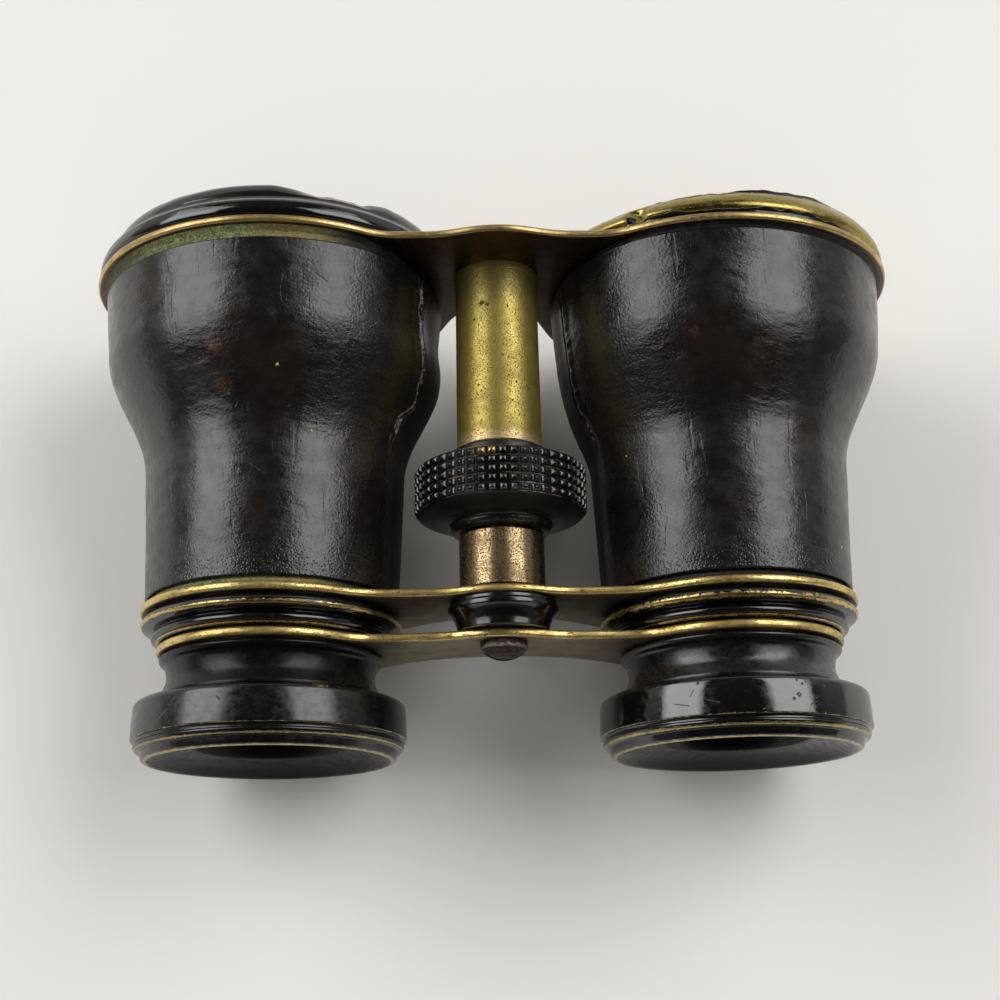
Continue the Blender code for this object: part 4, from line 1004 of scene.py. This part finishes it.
def build_side(side, way, leather, barrel, cell, cell_finish, cup_finish):
    """Everything that one barrel carries."""
    across = way * HALF_SPACING
    chipped, neck_shine, collar_reach, ridge = SIDE_WEAR[side]
    gloss = japan_finish(side + "_gloss_black", across, smudged=0.07, chipped=chipped)
    inner = japan_finish(side + "_inner_black", across, smudged=0.3, shine=0.35)
    neck_black = japan_finish(side + "_neck_black", across, smudged=0.19, shine=neck_shine)
    leather_cover(side, across, leather)
    barrel_tube(side, across, barrel)
    shift(cell, across)
    ring = turned([(radius, station - 0.5, rounding) for radius, station, rounding in GLASS_RING], across)
    collar_wear = ((18.0, 3.3, collar_reach), (15.85, 1.15, 0.35))
    cup_wear = ((18.6, -12.36, 0.40), (18.1, -13.57, ridge), (16.8, -15.0, 0.80), (16.0, -7.2, 0.25))
    collar = turned(COLLAR, across, worn=collar_wear)
    neck = turned(NECK, across, worn=((15.1, -6.5, 0.15),))
    cup = turned(CUP, across, worn=cup_wear)
    crown = lens(20.6, 55.6, 57.0, -110.0, 115.0, across)
    flint = lens(20.6, 52.2, 55.3, 0.0, -110.0, across)
    eye_lens = lens(9.1, -9.2, -5.8, 38.0, -38.0, across)
    draw = draw_finish(side, across)
    pieces = (
        ("cell", cell, cell_finish, "black_japan", "barrels", "objective_cell"),
        ("crown_glass", crown, clear_glass, "lens_glass", "barrels", "objective_crown"),
        ("flint_glass", flint, clear_glass, "lens_glass", "barrels", "objective_flint"),
        ("glass_ring", ring, inner, "black_japan", "barrels", "objective_ring"),
        ("collar", collar, gloss, "black_japan", "barrels", "draw_collar"),
        ("draw", turned(DRAW, across), draw, "brass", "eyepieces", "draw_tube"),
        ("neck", neck, neck_black, "black_japan", "eyepieces", "eyepiece_neck"),
        ("cup", cup, cup_finish, "black_japan", "eyepieces", "eyecup"),
        ("eye_glass", eye_lens, clear_glass, "lens_glass", "eyepieces", "eye_lens"),
        ("eye_ring", turned(EYE_RING, across), inner, "black_japan", "eyepieces", "eye_lens_ring"))
    for name, bm, finish, slot, body, node in pieces:
        add_piece(f"{side}_{name}", bm, finish, body, f"{side}_{node}")


def build_left():
    across = -HALF_SPACING
    red_brown, brown = (0.16, 0.062, 0.026), (0.085, 0.055, 0.028)
    patches = (((-6.2, 37.3, 22.0), 1.5, red_brown), ((-5.2, 32.4, 19.8), 1.5, red_brown),
               ((1.8, 41.0, 24.1), 0.8, brown), ((-3.6, 41.8, 24.0), 0.6, brown))
    flakes = (((2.3, 34.65, 21.5), 0.24), ((6.6, 26.85, 17.4), 0.14), ((-10.5, 19.85, 14.85), 0.14))
    scratches = (((-1.1, 21.7, 18.3), (1.0, -0.7, 0.0), 6.0, 0.10),
                 ((6.0, 29.6, 18.2), (1.0, 0.9, -0.4), 3.5, 0.10),
                 ((8.4, 28.4, 17.0), (1.0, 1.0, -0.5), 3.0, 0.09),
                 ((4.0, 30.2, 18.9), (1.0, 1.1, -0.2), 2.6, 0.08),
                 ((-10.0, 25.5, 15.6), (0.2, 1.0, 0.0), 1.6, 0.08),
                 ((5.6, 47.6, 24.2), (1.0, -0.8, -0.3), 3.2, 0.10),
                 ((8.2, 46.4, 23.4), (1.0, -0.7, -0.4), 2.6, 0.09),
                 ((3.9, 45.6, 24.4), (1.0, -0.4, -0.2), 2.2, 0.08),
                 ((10.2, 45.0, 22.6), (1.0, -0.9, -0.5), 2.4, 0.09))
    leather = leather_finish("left", across, patches, flakes, scratches, (4.0, 12.0), (0.90, 0.95))
    cell = turned(LEFT_CELL, 0.0, facets=CELL_FACETS, worn=((24.95, 57.65, 0.33),))
    batter_left_lip(cell)
    cell_black = japan_finish("left_cell_black", across, smudged=0.03, brass=OLIVE_WORN)
    flaked = (((8.1, -7.45, 16.3), 0.50), ((8.9, -7.4, 15.9), 0.32), ((7.4, -7.4, 16.6), 0.28))
    scratches = (((-10.8, -8.9, 15.3), (1.0, 1.1, 0.7), 2.0, 0.17),
                 ((-10.0, -9.4, 15.8), (1.0, 1.2, 0.6), 1.2, 0.10),
                 ((-12.2, -10.5, 14.1), (1.0, 0.8, 0.9), 2.6, 0.16),
                 ((-4.5, -9.2, 18.1), (0.9, -1.0, 0.2), 1.0, 0.13),
                 ((-8.7, -7.9, 16.6), (1.0, 1.0, 0.5), 0.9, 0.10),
                 ((6.6, -8.8, 17.5), (1.0, 0.8, -0.4), 1.6, 0.09),
                 ((7.7, -10.4, 17.1), (1.0, -0.7, -0.4), 1.3, 0.09))
    cup_black = japan_finish("left_cup_black", across, smudged=0.16, shine=0.7, brass=PALE_WORN,
                             dish=True, flaked=flaked, scratches=scratches)
    barrel = barrel_finish("left", across, 0.10, (6.0, 13.0))
    build_side("left", -1, leather, barrel, cell, cell_black, cup_black)


def build_right():
    across = HALF_SPACING
    brown, pale = (0.085, 0.055, 0.028), (0.06, 0.05, 0.04)
    patches = (((-5.9, 38.4, 22.5), 1.0, brown), ((15.6, 38.2, 17.2), 0.6, brown),
               ((-16.1, 35.4, 14.9), 0.8, pale))
    flakes = (((14.4, 11.5, 10.55), 0.22), ((-14.6, 24.9, 11.1), 0.16))
    scratches = (((8.4, 40.7, 22.6), (0.08, 1.0, -0.2), 3.0, 0.10),
                 ((1.6, 16.6, 17.95), (1.0, 0.45, 0.0), 2.2, 0.08),
                 ((2.2, 15.9, 17.9), (1.0, 0.5, 0.0), 1.8, 0.08),
                 ((2.9, 15.2, 17.8), (1.0, 0.55, 0.0), 1.4, 0.07),
                 ((-7.2, 27.1, 17.1), (1.0, 0.6, 0.4), 1.2, 0.10),
                 ((-4.0, 10.6, 17.4), (1.0, -1.2, 0.2), 3.5, 0.08))
    leather = leather_finish("right", across, patches, flakes, scratches, (-2.0, -16.0),
                             (-0.957, -0.985))
    cell = turned(RIGHT_CELL, 0.0, facets=CELL_FACETS)
    batter_right_cell(cell)
    cell_black = japan_finish("right_cell_black", across, smudged=0.05, brass=OLIVE_WORN)
    dings = (((5.1, -10.0, 17.9), 0.34), ((5.7, -8.5, 17.7), 0.2), ((6.3, -8.2, 17.6), 0.18),
             ((5.0, -8.1, 17.9), 0.18), ((-7.6, -8.1, 17.0), 0.24), ((12.1, -7.4, 14.2), 0.4),
             ((4.4, -10.5, 18.1), 0.24), ((8.9, -8.6, 16.4), 0.2))
    scratches = (((-9.8, -10.7, 15.9), (1.0, -0.25, 0.6), 2.6, 0.07),
                 ((-6.1, -10.5, 17.6), (1.0, -0.3, 0.35), 2.2, 0.07),
                 ((-8.4, -9.4, 16.6), (0.5, 1.0, 0.3), 1.2, 0.06),
                 ((7.2, -10.9, 17.2), (1.0, 0.5, -0.4), 1.4, 0.06))
    flaked = (((12.1, -7.3, 14.2), 0.35), ((1.4, -7.1, 16.2), 0.25), ((3.0, -7.1, 16.0), 0.22),
              ((-0.6, -7.1, 16.3), 0.2))
    cup_black = japan_finish("right_cup_black", across, smudged=0.04, shine=1.0, brass=PALE_WORN,
                             chipped=1.0, dish=True, flaked=flaked, dings=dings, scratches=scratches)
    # The darker side covers this whole band: painted shadow under the front bridge.
    barrel = barrel_finish("right", across, 0.0, (34.0, 28.0))
    build_side("right", 1, leather, barrel, cell, cell_black, cup_black)


def build_centre():
    front = plate_finish("front_bridge_brass", COPPER_BRIGHT, COPPER_DULL, BROWN_FACE, 0.30, 0.64, 0.35)
    rear = plate_finish("rear_bridge_brass", GOLD_BRIGHT, GOLD_DULL, GREY_FACE, 0.46)
    bridge_plate("front_plate", FRONT_PLATE, 22.9, 5.05, front, "barrels", "front_bridge")
    bridge_plate("rear_plate", REAR_PLATE, 15.9, 5.05, rear, "barrels", "rear_bridge")
    bridge_plate("moving_plate", MOVING_PLATE, 13.5, 1.9, rear, "eyepieces", "eyepiece_bridge")

    bm = turned(TUBE, 0.0, COLUMN_RISE, facets=SMALL_FACETS)
    add_piece("column", bm, column_finish(), "barrels", "column_tube")
    bronze = brass_finish("sleeve_bronze",
                          ((0.40, 0.295, 0.155), (0.23, 0.16, 0.085), (0.03, 0.018, 0.010)), 0.0,
                          COLUMN_RISE, (0.21, 0.31), 0.62)
    bm = turned(SLEEVE, 0.0, COLUMN_RISE, facets=SMALL_FACETS)
    add_piece("sleeve", bm, bronze, "barrels", "column_sleeve")
    boss_black = japan_finish("boss_black", 0.0, COLUMN_RISE)
    bm = turned(BOSS, 0.0, COLUMN_RISE, facets=SMALL_FACETS, worn=((7.5, 3.6, 0.15),))
    add_piece("boss", bm, boss_black, "barrels", "guide_boss")
    focus_wheel(wheel_finish())
    plain = brass_finish("plain_brass", ((0.62, 0.45, 0.16), (0.44, 0.31, 0.11), (0.05, 0.03, 0.01)),
                         0.0, COLUMN_RISE)
    bm = turned(NUT, 0.0, COLUMN_RISE, facets=PLAIN_FACETS)
    add_piece("nut", bm, plain, "wheel", "focus_nut")
    focus_spindle(bronze)
    slotted_bolt("column_bolt", COLUMN_BOLT, 56.3, (0.9, 0.8), 35, plain, "barrels",
                 "column_screw")
    slotted_bolt("bridge_bolt", BRIDGE_BOLT, -3.15, (0.9, 1.1), 4, steel_finish(),
                 "eyepieces", "bridge_screw")


clear_glass = glass_finish()
build_left()
build_right()
build_centre()


# Floor, lamps and camera

def pale_floor():
    bm = bmesh.new()
    bmesh.ops.create_grid(bm, x_segments=1, y_segments=1, size=FLOOR_REACH)
    mesh = mesh_of("floor", bm)
    mesh.materials.append(Finish("floor_paint").wear(Base_Color=FLOOR_COLOUR, Roughness=0.75))
    floor = placed("floor", mesh)


def soft_lamp(name, place, sizes):
    """A rectangular lamp that faces the middle of the glasses."""
    width, height, strength = sizes
    data = bpy.data.lights.new(name, "AREA")
    data.shape = "RECTANGLE"
    data.size = width
    data.size_y = height
    data.energy = strength * width * height
    lamp = placed(name, data)
    lamp.location = place
    lamp.rotation_euler = (place - MIDDLE).to_track_quat("Z", "Y").to_euler()
    return lamp


def soft_room():
    """Faint light from low down on the far side, hardly any from overhead or from the near side."""
    world = bpy.data.worlds.new("room")
    bpy.context.scene.world = world
    world.use_nodes = True
    tree = world.node_tree
    way = tree.nodes.new("ShaderNodeTexCoord")
    parts = tree.nodes.new("ShaderNodeSeparateXYZ")
    tree.links.new(way.outputs["Generated"], parts.inputs[0])
    product = tree.nodes.new("ShaderNodeMath")
    product.operation = "MULTIPLY"
    for place, (part, values) in enumerate(((2, (0.30, 0.58, 1.0, 0.12)), (1, (-0.2, 0.8, 0.12, 0.62)))):
        level = tree.nodes.new("ShaderNodeMapRange")
        level.interpolation_type = "SMOOTHSTEP"
        for socket, value in zip(level.inputs[1:5], values):
            socket.default_value = value
        tree.links.new(parts.outputs[part], level.inputs[0])
        tree.links.new(level.outputs[0], product.inputs[place])
    background = tree.nodes["Background"]
    background.inputs[0].default_value = (1.0, 0.98, 0.95, 1.0)
    tree.links.new(product.outputs[0], background.inputs[1])


def camera_as_in_the_picture():
    data = bpy.data.cameras.new("camera")
    data.sensor_width = 36.0
    data.lens = CAMERA_LENS
    data.clip_start = 0.01
    camera = placed("camera", data)
    camera.location = CAMERA_PLACE
    camera.rotation_euler = Euler([radians(angle) for angle in CAMERA_TURN], "XYZ")
    bpy.context.scene.camera = camera


pale_floor()
for lamp_name, lamp_place in LAMPS.items():
    soft_lamp(lamp_name, lamp_place, SKIRT_SIZES)
    soft_lamp(lamp_name + "_core", CORE_NEARER * lamp_place, CORE_SIZES)
soft_lamp("near_fill", FILL_PLACE, FILL_SIZES).visible_glossy = False
soft_room()
bpy.context.scene.view_settings.view_transform = "Standard"
camera_as_in_the_picture()
